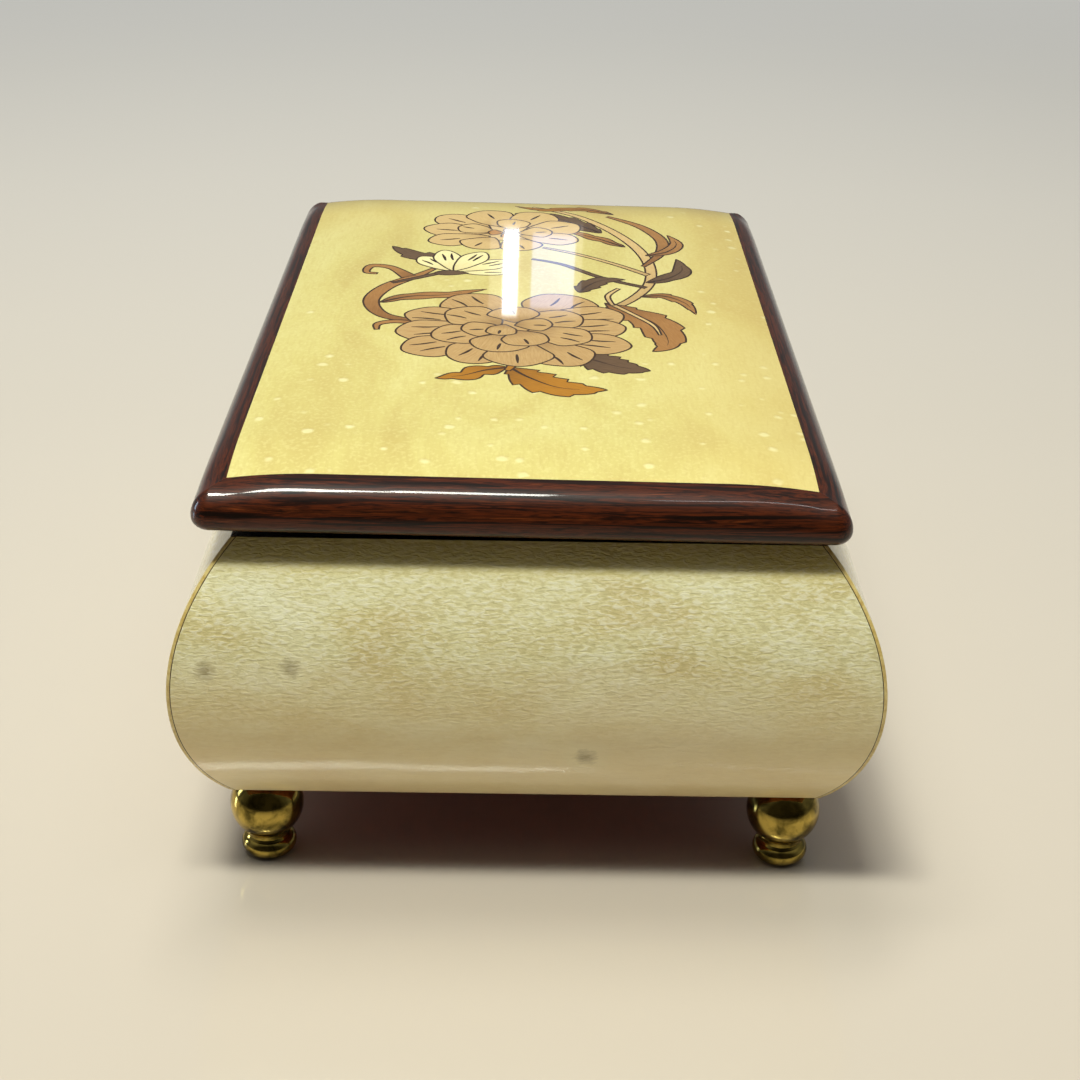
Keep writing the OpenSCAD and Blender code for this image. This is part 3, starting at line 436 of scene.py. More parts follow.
class JEWELBOX_OT_finishes(bpy.types.Operator):
    """Makes every finish and puts one on each CAD node"""

    bl_idname = "jewelbox.finishes"
    bl_label = "Finishes"

    def execute(self, context):
        look = context.scene.jewelbox_look
        case_maple("curly maple long face", "x", look.case_maple,
                   ((-1, -52, 36), (-1, 34, 52), (1, -20, 44), (1, 70, 31)))
        case_maple("curly maple end face", "y", look.case_maple,
                   ((1, -64, 54), (1, -47, 55), (1, 12, 34), (-1, 22, 51)))
        plain_wood("golden veneer edge", "#EBD690", "#CBA957", "x", 0.35, 1.0)
        lid_maple("birds-eye maple lid", look.lid_maple)
        rosewood("rosewood along the box", "x", look.rosewood)
        rosewood("rosewood across the box", "y", look.rosewood)
        plain_glue("dark glue line")
        inlay_wood("scorched pear", "#CDAC74", "#B6905A", "#75532E", 0.65)
        inlay_wood("cream holly", "#FAF0B8", "#F0E3A2", "#BCA25A", 0.4)
        inlay_wood("pale pear", "#E2C488", "#CFAE72", "#9A7440", 0.55)
        inlay_wood("dyed amber", "#BA7E18", "#A46C10", "#6A4008", 0.6)
        inlay_wood("smoked walnut", "#70553A", "#5B442C", "#382818", 0.5)
        inlay_wood("brown pear", "#B3824A", "#9C6C34", "#683E18", 0.65)
        plain_wood("poplar along the box", "#D6C08A", "#BC9F66", "x")
        plain_wood("poplar across the box", "#D6C08A", "#BC9F66", "y")
        plain_wood("red-brown stained board", "#8A3A20", "#642512", "x")
        metal("tarnished turned brass", look.foot_brass, "#5E5224", 0.05, 4.0, 0.4, turned=True)
        metal("polished brass", "#DDBB66", "#B08F45", 0.16)
        metal("bright steel", "#C9CBCC", "#9A9CA0", 0.2)
        metal("blued spring steel", "#6A7480", "#3F4A58", 0.25)
        metal("nickel-plated casting", "#C2BEB2", "#96918A", 0.32, 6.0)
        velvet("red velvet", look.velvet_pale, look.velvet_deep)
        acrylic("clear acrylic")
        for nodes, stuff in NODE_FINISHES.items():
            for node in nodes.split():
                clothe(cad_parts[node], stuff)
        return {"FINISHED"}


NODE_FINISHES = {
    "front_panel back_panel lid_core": "poplar along the box",
    "base_board": "red-brown stained board",
    "left_end_panel right_end_panel partition cover_ledge": "poplar across the box",
    "front_veneer back_veneer": "curly maple long face",
    "left_end_veneer right_end_veneer": "curly maple end face",
    "lid_veneer": "birds-eye maple lid",
    "lid_border_front lid_border_back": "rosewood along the box",
    "lid_border_left lid_border_right": "rosewood across the box",
    "foot_front_left foot_front_right foot_back_left foot_back_right": "tarnished turned brass",
    "inlay_rose": "scorched pear",
    "inlay_blossoms": "cream holly",
    "inlay_leaves": "dyed amber",
    "inlay_stems": "brown pear",
    "left_hinge_case_leaf right_hinge_case_leaf left_hinge_lid_leaf right_hinge_lid_leaf": "polished brass",
    "hinge_pins hinge_case_screws hinge_lid_screws": "polished brass",
    "spring_barrel pin_cylinder cylinder_arbor transfer_arbor winding_key governor_cock": "polished brass",
    "lid_pad lining_floor lining_front lining_back lining_end lining_partition": "red velvet",
    "ring_block ring_rolls": "red velvet",
    "clear_cover": "clear acrylic",
    "bedplate rod_guide": "nickel-plated casting",
    "bedplate_screws comb comb_screws winding_arbor governor stop_rod": "bright steel",
    "mainspring stop_spring": "blued spring steel",
}


# ---- Case ----


class JEWELBOX_OT_case(bpy.types.Operator):
    """Veneers the bombe case: two long faces with golden edges, and two end faces between dark glue lines"""

    bl_idname = "jewelbox.case"
    bl_label = "Case veneers"

    def execute(self, context):
        steps, glue_line, sunk = 56, 0.14, 0.03
        low, high = (math.asin((z - BELLY_Z) / BELLY_R) for z in (CASE_Z, RIM_Z))
        heights = [BELLY_Z + BELLY_R * math.sin(low + (high - low) * i / steps) for i in range(steps + 1)]
        heights[0], heights[-1] = CASE_Z, RIM_Z
        for side, name in ((-1, "front_veneer"), (1, "back_veneer")):
            levels = []
            for z in heights:
                out = bombe(z)
                ys = sorted((side * bombe(z, VENEER), side * out))
                levels.append((z, -out - END_SHIFT, out + END_SHIFT, *ys))
            piece = loft(f"{name}_face", levels)
            clothe(piece, "curly maple long face", "golden veneer edge")
            for face in piece.data.polygons:
                if abs(face.normal.x) > 0.6:
                    face.material_index = 1
            bevel(piece, 0.12, angle=40)
            done(piece, 30)
            finish(piece, "case", "maple_veneer", name)
        for side, name in ((-1, "left_end_veneer"), (1, "right_end_veneer")):
            parts = []
            # The face itself, then the glue line at each of its edges
            for edge in (0, -1, 1):
                levels = []
                for z in heights:
                    half = bombe(z, VENEER)
                    xs = sorted((side * (half + END_SHIFT), side * (bombe(z) + END_SHIFT - abs(edge) * sunk)))
                    face_y = half - glue_line
                    ys = sorted((edge * half, edge * face_y)) if edge else (-face_y, face_y)
                    levels.append((z, *xs, *ys))
                part = loft(f"{name}_part", levels)
                clothe(part, "dark glue line" if edge else "curly maple end face")
                if edge == 0:
                    bevel(part, 0.06, angle=60)
                parts.append(part)
            piece = join(f"{name}_face", parts)
            done(piece, 30)
            finish(piece, "case", "maple_veneer", name)
        return {"FINISHED"}


# ---- Feet ----


class JEWELBOX_OT_feet(bpy.types.Operator):
    """Turns the four brass feet: ball, cove, neck, bead and stud"""

    bl_idname = "jewelbox.feet"
    bl_label = "Turned feet"

    def execute(self, context):
        size = context.scene.jewelbox_look
        bead_h, stud_r, stud_h = 4.5, 2.0, 8.5
        ball, bead, neck = size.ball_d / MM / 2, size.bead_d / MM / 2, size.neck_d / MM / 2
        bead_r = bead_h / 2
        ball_z = CASE_Z - ball * 0.9
        low, top = -math.acos((neck + 0.15) / ball), math.asin((CASE_Z - ball_z) / ball)
        # From the underside up: the bead's round, the neck with a cove at each end, the ball and the stud
        outline = [(0, 0), (bead - bead_r - 0.4, 0)]
        outline += [(bead - bead_r + bead_r * math.cos(t), bead_r + bead_r * math.sin(t))
                    for t in (math.radians(a) for a in range(-84, 70, 11))]
        outline += [(neck + 0.35, bead_h + 0.1), (neck, bead_h + 0.5)]
        outline += [(neck, ball_z + ball * math.sin(low) - 0.25)]
        outline += [(ball * math.cos(t), ball_z + ball * math.sin(t))
                    for t in (low + (top - low) * i / 26 for i in range(27))]
        outline += [(stud_r, CASE_Z), (stud_r, CASE_Z + stud_h), (0, CASE_Z + stud_h)]
        turned = fresh("foot", bpy.ops.mesh.primitive_plane_add, size=MM)
        edit(turned)
        bpy.ops.mesh.delete(type="VERT")
        mesh = bmesh.from_edit_mesh(turned.data)
        points = [mesh.verts.new((r * MM, 0, z * MM)) for r, z in outline]
        for a, b in zip(points, points[1:]):
            mesh.edges.new((a, b))
        bmesh.update_edit_mesh(turned.data)
        bpy.ops.mesh.select_all(action="SELECT")
        bpy.ops.mesh.spin(steps=64, angle=2 * math.pi, center=(0, 0, 0), axis=(0, 0, 1))
        bpy.ops.mesh.select_all(action="SELECT")
        bpy.ops.mesh.remove_doubles(threshold=1e-6)
        done(turned, 32)
        for x, side in ((-1, "left"), (1, "right")):
            for y, end in ((-1, "front"), (1, "back")):
                foot = turned.copy()
                foot.data = turned.data.copy()
                foot.name = foot.data.name = f"turned_foot_{end}_{side}"
                context.scene.collection.objects.link(foot)
                foot.data.transform(Matrix.Translation((x * FOOT_X * MM, y * FOOT_Y * MM, 0)))
                finish(foot, "case", "brass_feet", f"foot_{end}_{side}", stuff="tarnished turned brass")
        bpy.data.objects.remove(turned)
        return {"FINISHED"}


# ---- Lid ----


def pillow(x, y):
    """Height of the panel over the lid's underside, at a point of the lid: level, and rolled off at the rim."""
    out = math.hypot(max(abs(x) - PANEL_X + ROLL_W, 0), max(abs(y) - PANEL_Y + ROLL_W, 0))
    return LID_T - ROLL_R + math.sqrt(ROLL_R**2 - out**2)


def in_lid(piece):
    """Sets what is drawn on the closed, level lid where the lid rests."""
    piece.data.transform(LID_REST)
    return piece


def slab(name, cells_x, cells_y, top, thick=None, smooth=40):
    """A piece of the lid on a grid of cells, closed below: thick millimetres down, or level at zero height. Its
    points are set in code, since no bevel gives these swells: top maps a point of the grid, from -1 to 1 both
    ways, to its place in millimetres."""
    piece = fresh(name, bpy.ops.mesh.primitive_grid_add, size=1,
                  x_subdivisions=cells_x, y_subdivisions=cells_y)
    for v in piece.data.vertices:
        v.co = [c * MM for c in top(2 * v.co.x, 2 * v.co.y)]
    edit(piece)
    bpy.ops.mesh.extrude_region_move(TRANSFORM_OT_translate={"value": (0, 0, -(thick or 1) * MM)})
    if thick is None:
        mesh = bmesh.from_edit_mesh(piece.data)
        for v in mesh.verts:
            if v.select:
                v.co.z = 0
        bmesh.update_edit_mesh(piece.data)
    return in_lid(done(piece, smooth))


def bullnose():
    """The border's section, from the panel's edge over the nose to the underside, as (way outwards, height)."""
    edge = LID_T - ROLL_R * (1 - math.cos(ROLL_A))
    ring = []
    for i in range(13):
        t = math.pi / 2 - ROLL_A - (math.pi / 2 - ROLL_A) * i / 12
        ring.append((LID_W / 2 - BULL_R + BULL_R * math.cos(t) - PANEL_Y, BULL_Z + BULL_R * math.sin(t)))
    for i in range(1, 9):
        t = -math.pi / 2 * i / 8
        ring.append((BORDER_W - BULL_Z + BULL_Z * math.cos(t), BULL_Z + BULL_Z * math.sin(t)))
    ring.append((0.0, 0.0))
    return edge, ring


def skin(name, rows):
    """A closed surface over rows of points in millimetres, each row a closed ring, with flat ends. Its points are
    set in code, because the nose dips with the pillow's edge, which an extruded section doesn't."""
    mesh = bmesh.new()
    made = [[mesh.verts.new(Vector(p) * MM) for p in row] for row in rows]
    for a, b in zip(made, made[1:]):
        for i in range(len(a)):
            k = (i + 1) % len(a)
            mesh.faces.new((a[i], a[k], b[k], b[i]))
    mesh.faces.new(made[0])
    mesh.faces.new(made[-1])
    bmesh.ops.remove_doubles(mesh, verts=mesh.verts, dist=1e-6)
    return done(made_of(name, mesh), 40)


class JEWELBOX_OT_lid(bpy.types.Operator):
    """Makes the lid's pillow-topped panel and its four mitred bullnose borders with ball-rounded corners"""

    bl_idname = "jewelbox.lid"
    bl_label = "Lid"

    def execute(self, context):
        def top(drop):
            return lambda a, b: (a * PANEL_X, b * PANEL_Y, pillow(a * PANEL_X, b * PANEL_Y) - drop)

        panel = slab("lid_panel_veneer", 190, 120, top(0), 0.65)
        finish(panel, "lid", "maple_veneer", "lid_veneer", stuff="birds-eye maple lid")
        core = slab("lid_core_board", 60, 40, top(VENEER))
        finish(core, "lid", "core_wood", "lid_core", stuff="poplar along the box")

        corner = context.scene.jewelbox_look.lid_corner / MM
        edge, ring = bullnose()

        def section(sx, sy, turn, x=None, y=None):
            """A row of points across the border: at angle turn round a corner, or across a side at x or y."""
            row = []
            for out, z in ring:
                inset = BORDER_W - out
                reach = max(corner - inset, 0.0)
                px = LID_L / 2 - max(corner, inset) + reach * math.cos(turn) if x is None else x
                py = LID_W / 2 - max(corner, inset) + reach * math.sin(turn) if y is None else y
                drop = (pillow(min(px, PANEL_X), min(py, PANEL_Y)) - BULL_Z) / (edge - BULL_Z)
                height = BULL_Z + (z - BULL_Z) * drop if z > BULL_Z else z
                row.append((sx * px, sy * py, height))
            return row

        turns = [math.radians(a) for a in range(0, 46, 5)]
        spread = [2 * i / 40 - 1 for i in range(41)]
        run_x, run_y = LID_L / 2 - max(corner, BORDER_W), LID_W / 2 - max(corner, BORDER_W)
        for name, side, grain in (
                ("front", -1, "along"), ("back", 1, "along"), ("left", -1, "across"), ("right", 1, "across")):
            if grain == "along":
                rows = [section(-1, side, math.pi / 4 + t) for t in turns]
                rows += [section(1, side, math.pi / 2, x=s * run_x) for s in spread]
                rows += [section(1, side, math.pi / 2 - t) for t in turns]
            else:
                rows = [section(side, -1, math.pi / 4 - t) for t in turns]
                rows += [section(side, 1, 0, y=s * run_y) for s in spread]
                rows += [section(side, 1, t) for t in turns]
            piece = in_lid(skin(f"border_{name}", rows))
            finish(piece, "lid", "rosewood", f"lid_border_{name}", stuff=f"rosewood {grain} the box")
        return {"FINISHED"}


# ---- Inlay ----


def smooth(points, steps):
    """A smooth line through points, in steps from each one to the next."""
    last, out = len(points) - 1, []
    for i in range(last):
        a, b, c, d = (points[min(max(i + k, 0), last)] for k in (-1, 0, 1, 2))
        for t in (s / steps for s in range(steps)):
            out.append(tuple(
                q + ((r - p) * t + (2 * p - 5 * q + 4 * r - w) * t * t + (3 * q - p - 3 * r + w) * t**3) / 2
                for p, q, r, w in zip(a, b, c, d)))
    return out + [tuple(points[-1])]


def band(line, left, right=None):
    """A shape along a line of (a, b): left(u) and right(u) give its half widths at share u of the way."""
    right = right or left
    lengths = [0.0]
    for p, q in zip(line, line[1:]):
        lengths.append(lengths[-1] + math.dist(p, q))
    one, two = [], []
    for i, p in enumerate(line):
        q, r = line[max(i - 1, 0)], line[min(i + 1, len(line) - 1)]
        gone = math.dist(q, r)
        na, nb = -(r[1] - q[1]) / gone, (r[0] - q[0]) / gone
        u = lengths[i] / lengths[-1]
        one.append((p[0] + na * left(u), p[1] + nb * left(u)))
        two.append((p[0] - na * right(u), p[1] - nb * right(u)))
    return one + two[::-1]


def drawn_in(loop, by):
    """A loop with its edge moved inwards."""
    area = sum(p[0] * q[1] - q[0] * p[1] for p, q in zip(loop, loop[1:] + loop[:1]))
    sign = 1 if area > 0 else -1
    out = []
    for i, p in enumerate(loop):
        q, r = loop[i - 1], loop[(i + 1) % len(loop)]
        normal = Vector((0, 0))
        for s, t in ((q, p), (p, r)):
            edge = Vector((t[0] - s[0], t[1] - s[1]))
            if edge.length > 1e-6:
                normal += Vector((-edge.y, edge.x)).normalized()
        normal = normal.normalized() if normal.length > 1e-6 else normal
        out.append((p[0] + sign * by * normal.x, p[1] + sign * by * normal.y))
    return out


class Spray:
    """Collects the inlay's shapes from the bottom up, each as (wood, loop, base, heading, length, tone)."""

    def __init__(self, seed, line):
        self.shapes, self.rng, self.line = [], random.Random(seed), line

    def add(self, wood, loop, base, tip, line=None):
        """Adds a shape of wood with a dark line round it."""
        line = self.line if line is None else line
        heading = Vector(tip) - Vector(base)
        lie = (Vector(base), heading.normalized(), max(heading.length, 1e-3), self.rng.random())
        if line:
            self.shapes.append(("dark glue line", loop, *lie))
            loop = drawn_in(loop, line)
        self.shapes.append((wood, loop, *lie))

    def stroke(self, points, width):
        """A short dark line that swells and ends in a point."""
        def half(u):
            return width / 2 * (0.25 + 1.1 * math.sin(math.pi * (0.12 + 0.83 * u)))

        self.add("dark glue line", band(smooth(points, 5), half), points[0], points[-1], 0)

    def petal(self, wood, base, angle, length, width, bend=0.0, wave=0.035, marks=2, full=0.62):
        """A rounded petal from base at angle in degrees, widest near its end, with short dark strokes."""
        t = math.radians(angle)
        ahead, side = Vector((math.cos(t), math.sin(t))), Vector((-math.sin(t), math.cos(t)))

        def at(u, v=0.0):
            return tuple(Vector(base) + ahead * length * u + side * (bend * length * u * u + v))

        phase = self.rng.uniform(0, 6.28)
        power = math.log(0.5) / math.log(full)

        def half(u):
            u = min(max(u, 0.0), 1.0)
            return width / 2 * math.sin(math.pi * u**power) ** 0.55 * (1 + wave * math.sin(11 * u + phase))

        line = [at((1 - math.cos(math.pi * i / 30)) / 2) for i in range(31)]
        self.add(wood, band(line, half), at(0), at(1))
        for k in range(marks):
            v = (k - (marks - 1) / 2) * width * 0.27 + self.rng.uniform(-0.4, 0.4)
            u = self.rng.uniform(0.46, 0.58)
            self.stroke([at(u, v), at(u + 0.15, v), at(u + 0.31, v * 1.25)], self.line * 1.15)

    def leaf(self, wood, points, width, teeth=0, depth=0.22, lobes=0, vein=True, belly=0.42):
        """A leaf along points, with forward teeth or round lobes, and a dark midrib."""
        line = smooth(points, max(4, 56 // len(points)))
        power = math.log(0.5) / math.log(belly)

        def half(shift):
            def at(u):
                w = width / 2 * max(math.sin(math.pi * min(max(u, 0), 1) ** power), 0) ** 0.8 + 0.12
                if teeth:
                    w *= 1 - depth + depth * ((u * teeth + shift) % 1.0)
                if lobes:
                    w *= 1 - depth + depth * abs(math.sin(math.pi * (u * lobes + shift)))
                return w
            return at

        self.add(wood, band(line, half(0.0), half(0.45)), points[0], points[-1])
        if vein:
            rib = line[2:int(len(line) * 0.8)]
            loop = band(rib, lambda u: self.line * 0.75 * (1.15 - u))
            self.add("dark glue line", loop, points[0], points[-1], 0)

    def stem(self, wood, points, start, middle, end):
        """A stem or scroll along points whose width goes from start through middle to end."""
        def half(u):
            tip = start if u < 0.5 else end
            return (tip + (middle - tip) * math.sin(math.pi * u)) / 2 + self.line * 0.8

        self.add(wood, band(smooth(points, 9), half), points[0], points[-1])


def draw_spray(line):
    """The lid's flower spray, in millimetres across the lid and up from the near edge of its panel."""
    s = Spray(11, line)
    amber, brown, dark, cream, tan, rose = (
        "dyed amber", "brown pear", "smoked walnut", "cream holly", "pale pear", "scorched pear")
    # The long stem up the right side, with its side shoots
    s.stem(tan, [(14, 92), (24, 101), (31, 117), (31, 137), (25, 156), (14, 173), (1, 183)], 1.6, 2.6, 1.2)
    s.stem(tan, [(31, 123), (23, 131), (13, 139), (4, 144)], 1.6, 1.2, 0.6)
    s.stem(dark, [(30, 113), (19, 120), (9, 130), (1, 134)], 1.2, 1.2, 0.5)
    s.stem(brown, [(30, 130), (35, 141), (36, 153), (31, 165), (22, 174)], 0.8, 3.0, 0.7)
    s.leaf(amber, [(24, 176), (15, 182), (4, 180), (-4, 184)], 5.5, 4, 0.3)
    s.leaf(dark, [(20, 158), (13, 166), (5, 173), (-4, 175)], 8.5, 5, 0.25)
    s.leaf(brown, [(26, 146), (20, 152), (13, 158), (12, 163)], 4.5, lobes=3, depth=0.3)
    s.leaf(dark, [(30, 117), (36, 121), (40, 128), (39, 137)], 6.2, lobes=2, depth=0.3)
    s.leaf(brown, [(31, 139), (37, 143), (40, 150), (38, 158)], 4.4)
    s.leaf(brown, [(28, 106), (34, 107), (39, 102), (41, 94)], 4.6, 3, 0.25)
    s.leaf(dark, [(13, 108), (15, 113), (19, 118), (25, 119)], 7.0, 4, 0.25)
    # The amber-brown leaf that hangs at the right of the rose
    s.leaf(brown, [(19, 101), (25, 94), (31, 86), (33, 74), (29, 68)], 12.5, 5, 0.26, belly=0.5)
    s.stem(tan, [(20, 101), (25, 94), (30, 86), (31.5, 79)], 1.3, 1.0, 0.3)
    s.stem(tan, [(21, 99), (20, 106), (23, 112)], 0.8, 1.0, 0.6)
    # The scrolls at the left
    s.stem(brown, [(-24, 84), (-34, 88), (-38, 98), (-35, 109), (-28, 118), (-24, 124)], 1.4, 3.6, 1.0)
    s.stem(brown, [(-30, 117), (-35, 124), (-40, 125), (-41, 120), (-38, 119)], 3.8, 2.0, 0.7)
    s.stem(brown, [(-25, 83), (-31, 84), (-35, 82), (-35, 78)], 2.2, 1.8, 0.6)
    s.leaf(brown, [(-36, 97), (-29, 102), (-20, 104), (-10, 109)], 5.4, lobes=3, depth=0.26)
    s.stem(dark, [(-34, 112), (-27, 117), (-20, 123), (-16, 130)], 0.8, 1.3, 0.9)
    s.leaf(dark, [(-20, 126), (-25, 132), (-31, 136), (-36, 142)], 8.5, 3, 0.34, vein=False)
    # The pale blossom at the top left, and the cream bud under it
    s.petal(tan, (-18, 157), 0, 24, 16, marks=0, full=0.5)
    for base, angle, reach, width in (
            ((-10, 159), 142, 19, 13), ((-7, 161), 106, 17, 14), ((-3, 161), 66, 17, 14),
            ((-2, 157), 24, 18, 13), ((-10, 156), 172, 19, 12), ((-10, 153), 202, 18, 11),
            ((-3, 154), 352, 17, 11), ((-9, 152), 238, 12, 12), ((-5, 152), 296, 12, 12),
            ((-9, 157), 160, 11, 9), ((-5, 159), 84, 10, 10), ((-3, 156), 14, 10, 9)):
        s.petal(tan, base, angle, reach, width, s.rng.uniform(-0.1, 0.1), 0.05, marks=1)
    for turn in (0, 240, 120):
        angle = 50 + turn + s.rng.uniform(-5, 5)
        t = math.radians(angle)
        reach = 4.5 * s.rng.uniform(0.95, 1.05) / math.hypot(math.cos(t), math.sin(t) / 0.9)
        width, bend = 5 * s.rng.uniform(0.93, 1.08), s.rng.uniform(-0.12, 0.12)
        s.petal(amber, (-6.5, 156), angle, reach, width, bend, marks=0)
    for angle, reach in ((128, 15.0), (8, 15.0), (100, 18.0), (34, 18.0), (66, 18.5)):
        s.petal(cream, (-19, 122), angle, reach, 7.6)
    s.leaf(dark, [(-24, 120), (-20, 121), (-15, 121)], 4.0, vein=False)
    # The leaves under the rose
    s.leaf(dark, [(10, 64), (15, 62), (21, 58), (28, 56)], 12.0, 6, 0.24)
    s.leaf(amber, [(-3.5, 56), (1, 50), (8, 44.5), (18, 44)], 12.5, 5, 0.3)
    s.leaf(amber, [(-4, 56), (-9, 54), (-14, 50.5), (-20, 48.5)], 7.6, lobes=2.5, depth=0.42)
    s.stem(amber, [(-3, 60), (-3.2, 57), (-4.2, 54)], 1.2, 1.6, 1.0)
    # The rose: broad outer petals all round, then shorter ones that close over its heart
    s.petal(rose, (-16, 80), 0, 26, 22, marks=0, full=0.5)
    for base, angle, reach, width, bend, marks in (
            ((-7, 87), 116, 20, 17, 0.1, 2), ((4, 87), 72, 20, 20, -0.12, 2), ((-8, 84), 160, 22, 14, 0.1, 2),
            ((2, 84), 30, 23, 16, -0.14, 2), ((-10, 80), 186, 21, 15, 0.05, 2), ((1, 80), 6, 23, 14, 0.08, 2),
            ((-10, 75), 213, 21, 14, -0.08, 2), ((2, 76), 342, 23, 14, 0.1, 2), ((-6, 74), 238, 18, 15, 0.06, 2),
            ((2, 74), 306, 19, 15, -0.06, 2), ((-2, 74), 270, 17.5, 16, 0.05, 1), ((-6, 83), 134, 16, 14, 0.2, 2),
            ((-1, 83), 38, 16, 14, -0.2, 2), ((-7, 80), 196, 16, 13, 0.16, 2), ((0, 80), 346, 16, 13, -0.16, 2),
            ((-4, 78), 248, 13, 14, 0.14, 1), ((-3, 85), 86, 11, 13, 0.2, 1), ((-3, 80), 300, 11, 12, -0.14, 1),
            ((-5, 80), 168, 10, 10, 0.3, 1), ((-3, 83), 22, 9, 9, -0.3, 1), ((-5, 84), 256, 8, 8, 0.1, 1)):
        s.petal(rose, base, angle, reach, width, bend, 0.05, marks, 0.6)
    return s.shapes


def inside(points, loop):
    """Which of the points lie inside a loop, both as arrays."""
    found = np.zeros(len(points), bool)
    low, high = loop.min(0), loop.max(0)
    near = np.flatnonzero(((points > low) & (points < high)).all(1))
    x, y = points[near].T
    odd = np.zeros(len(near), bool)
    for p, q in zip(loop, np.roll(loop, -1, 0)):
        if p[1] != q[1]:
            odd ^= ((p[1] > y) != (q[1] > y)) & (x < (q[0] - p[0]) * (y - p[1]) / (q[1] - p[1]) + p[0])
    found[near] = odd
    return found


class JEWELBOX_OT_inlay(bpy.types.Operator):
    """Cuts the lid's flower spray, from its drawn plan, as pieces of veneer with dark lines between them"""

    bl_idname = "jewelbox.inlay"
    bl_label = "Inlay"

    def execute(self, context):
        # The pieces stand a hair proud of the panel's face, which would show through them otherwise
        proud, thick = 0.02, 0.3
        shapes = draw_spray(context.scene.jewelbox_look.inlay_line / MM)
        points, faces = [], []
        for _, loop, *_rest in shapes:
            faces.append(list(range(len(points), len(points) + len(loop))))
            points += [Vector(p) for p in loop]
        verts, _, scraps, _, _, _ = delaunay_2d_cdt(points, [], faces, 0, 1e-5, False)
        # The topmost shape over each scrap of the plan owns it, so that no two pieces overlap
        middles = np.array([sum((verts[i] for i in scrap), Vector((0, 0))) / len(scrap) for scrap in scraps])
        owners = np.full(len(scraps), -1)
        for k, (_, loop, *_rest) in enumerate(shapes):
            owners[inside(middles, np.array(loop))] = k
        for name, slot, nodes, woods in INLAY_PIECES:
            mesh = bmesh.new()
            grain, shade = (mesh.loops.layers.uv.new(k) for k in ("UVMap", "shade"))
            made = {}
            for scrap, owner in zip(scraps, owners):
                if owner < 0 or shapes[owner][0] not in woods:
                    continue
                wood, _, base, ahead, reach, tone = shapes[owner]
                for i in scrap:
                    if i not in made:
                        made[i] = mesh.verts.new((*verts[i], 0))
                face = mesh.faces.new([made[i] for i in scrap])
                face.material_index = woods.index(wood)
                for loop in face.loops:
                    d = Vector(loop.vert.co.xy) - base
                    along, across = d.dot(ahead), d.x * -ahead.y + d.y * ahead.x
                    # Its tone also shifts each piece to a place of its own in the pattern of the grain
                    loop[grain].uv = (along + 40 * tone, across + 90 * tone)
                    loop[shade].uv = (along / reach, tone)
            # Where the panel rolls off at its far end, the pieces are split so that they follow it
            for b in range(165, 190, 3):
                bmesh.ops.bisect_plane(mesh, geom=[*mesh.verts, *mesh.edges, *mesh.faces],
                                       plane_co=(0, b, 0), plane_no=(0, 1, 0))
            bmesh.ops.triangulate(mesh, faces=mesh.faces)
            for v in mesh.verts:
                x, y = PANEL_X - v.co.y, v.co.x
                v.co = Vector((x, y, pillow(x, y) + proud)) * MM
            under = bmesh.ops.extrude_face_region(mesh, geom=mesh.faces[:], use_keep_orig=True)["geom"]
            for v in under:
                if isinstance(v, bmesh.types.BMVert):
                    v.co.z -= thick * MM
            piece = made_of(name, mesh)
            clothe(piece, *woods)
            finish(in_lid(done(piece, 30)), "lid", slot, *nodes)
        return {"FINISHED"}


# Name, slot, CAD nodes and woods of each inlay piece
INLAY_PIECES = [
    ("rose_inlay", "inlay_tan", ["inlay_rose"], ["scorched pear"]),
    ("blossom_inlay", "inlay_cream", ["inlay_blossoms"], ["cream holly", "pale pear"]),
    ("amber_leaf_inlay", "inlay_amber", ["inlay_leaves"], ["dyed amber"]),
    ("brown_leaf_inlay", "inlay_brown", ["inlay_leaves"], ["smoked walnut"]),
    ("stem_inlay", "inlay_brown", ["inlay_stems"], ["brown pear"]),
    ("line_inlay", "inlay_brown", [], ["dark glue line"]),
]


# ---- Soft parts ----


def soft_board(node, edge, crown):
    """A velvet-covered board over a CAD node: rounded edges, and faces that swell a little between them."""
    name = f"{node}_velvet"
    low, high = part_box(node)
    size = high - low
    piece = fresh(name, bpy.ops.mesh.primitive_cube_add, size=1, location=(low + high) / 2)
    piece.scale = size
    bpy.ops.object.transform_apply(location=True, rotation=True, scale=True)
    thin = min(size)
    bevel(piece, min(edge, thin / MM * 0.45), 3)
    edit(piece, lambda f: f.calc_area() > thin * thin * 0.5)
    bpy.ops.mesh.inset(thickness=min(1.6 * MM, thin * 0.6), use_individual=True)
    bpy.ops.mesh.subdivide(number_cuts=5)
    done(piece, 50)
    rng = random.Random(sum(map(ord, name)))
    phase = [rng.uniform(0, 6.28) for _ in range(3)]
    for v in piece.data.vertices:
        # A slow waviness of the glued cloth, drawn inwards so that the board keeps its size
        wave = sum(math.sin(c * rate + p) for c, rate, p in zip(v.co, (190, 170, 210), phase))
        v.co -= v.normal * crown * MM * (0.5 + wave / 6)
    finish(piece, "case", "velvet", node, stuff="red velvet")


def pad_top(a, b):
    """The place of a point of the lid's padded board, from -1 to 1 both ways: crowned inside a corded rim."""
    x, y, cord = INNER_X - PAD_INSET, INNER_Y - PAD_INSET, 4.5
    px, py = a * x, b * y
    inwards = min(x - abs(px), y - abs(py))
    rim = max(0.0, 1 - (inwards / cord - 0.5) ** 2 * 4) if inwards < cord else 0.0
    crown = min(1.0, max(inwards - cord, 0) / 16)
    depth = 0.3 if inwards <= 0.01 else 0.9 + 0.95 * rim + math.sin(crown * math.pi / 2)
    return px, py + LID_FORWARD, -min(depth, PAD_T - 0.1)


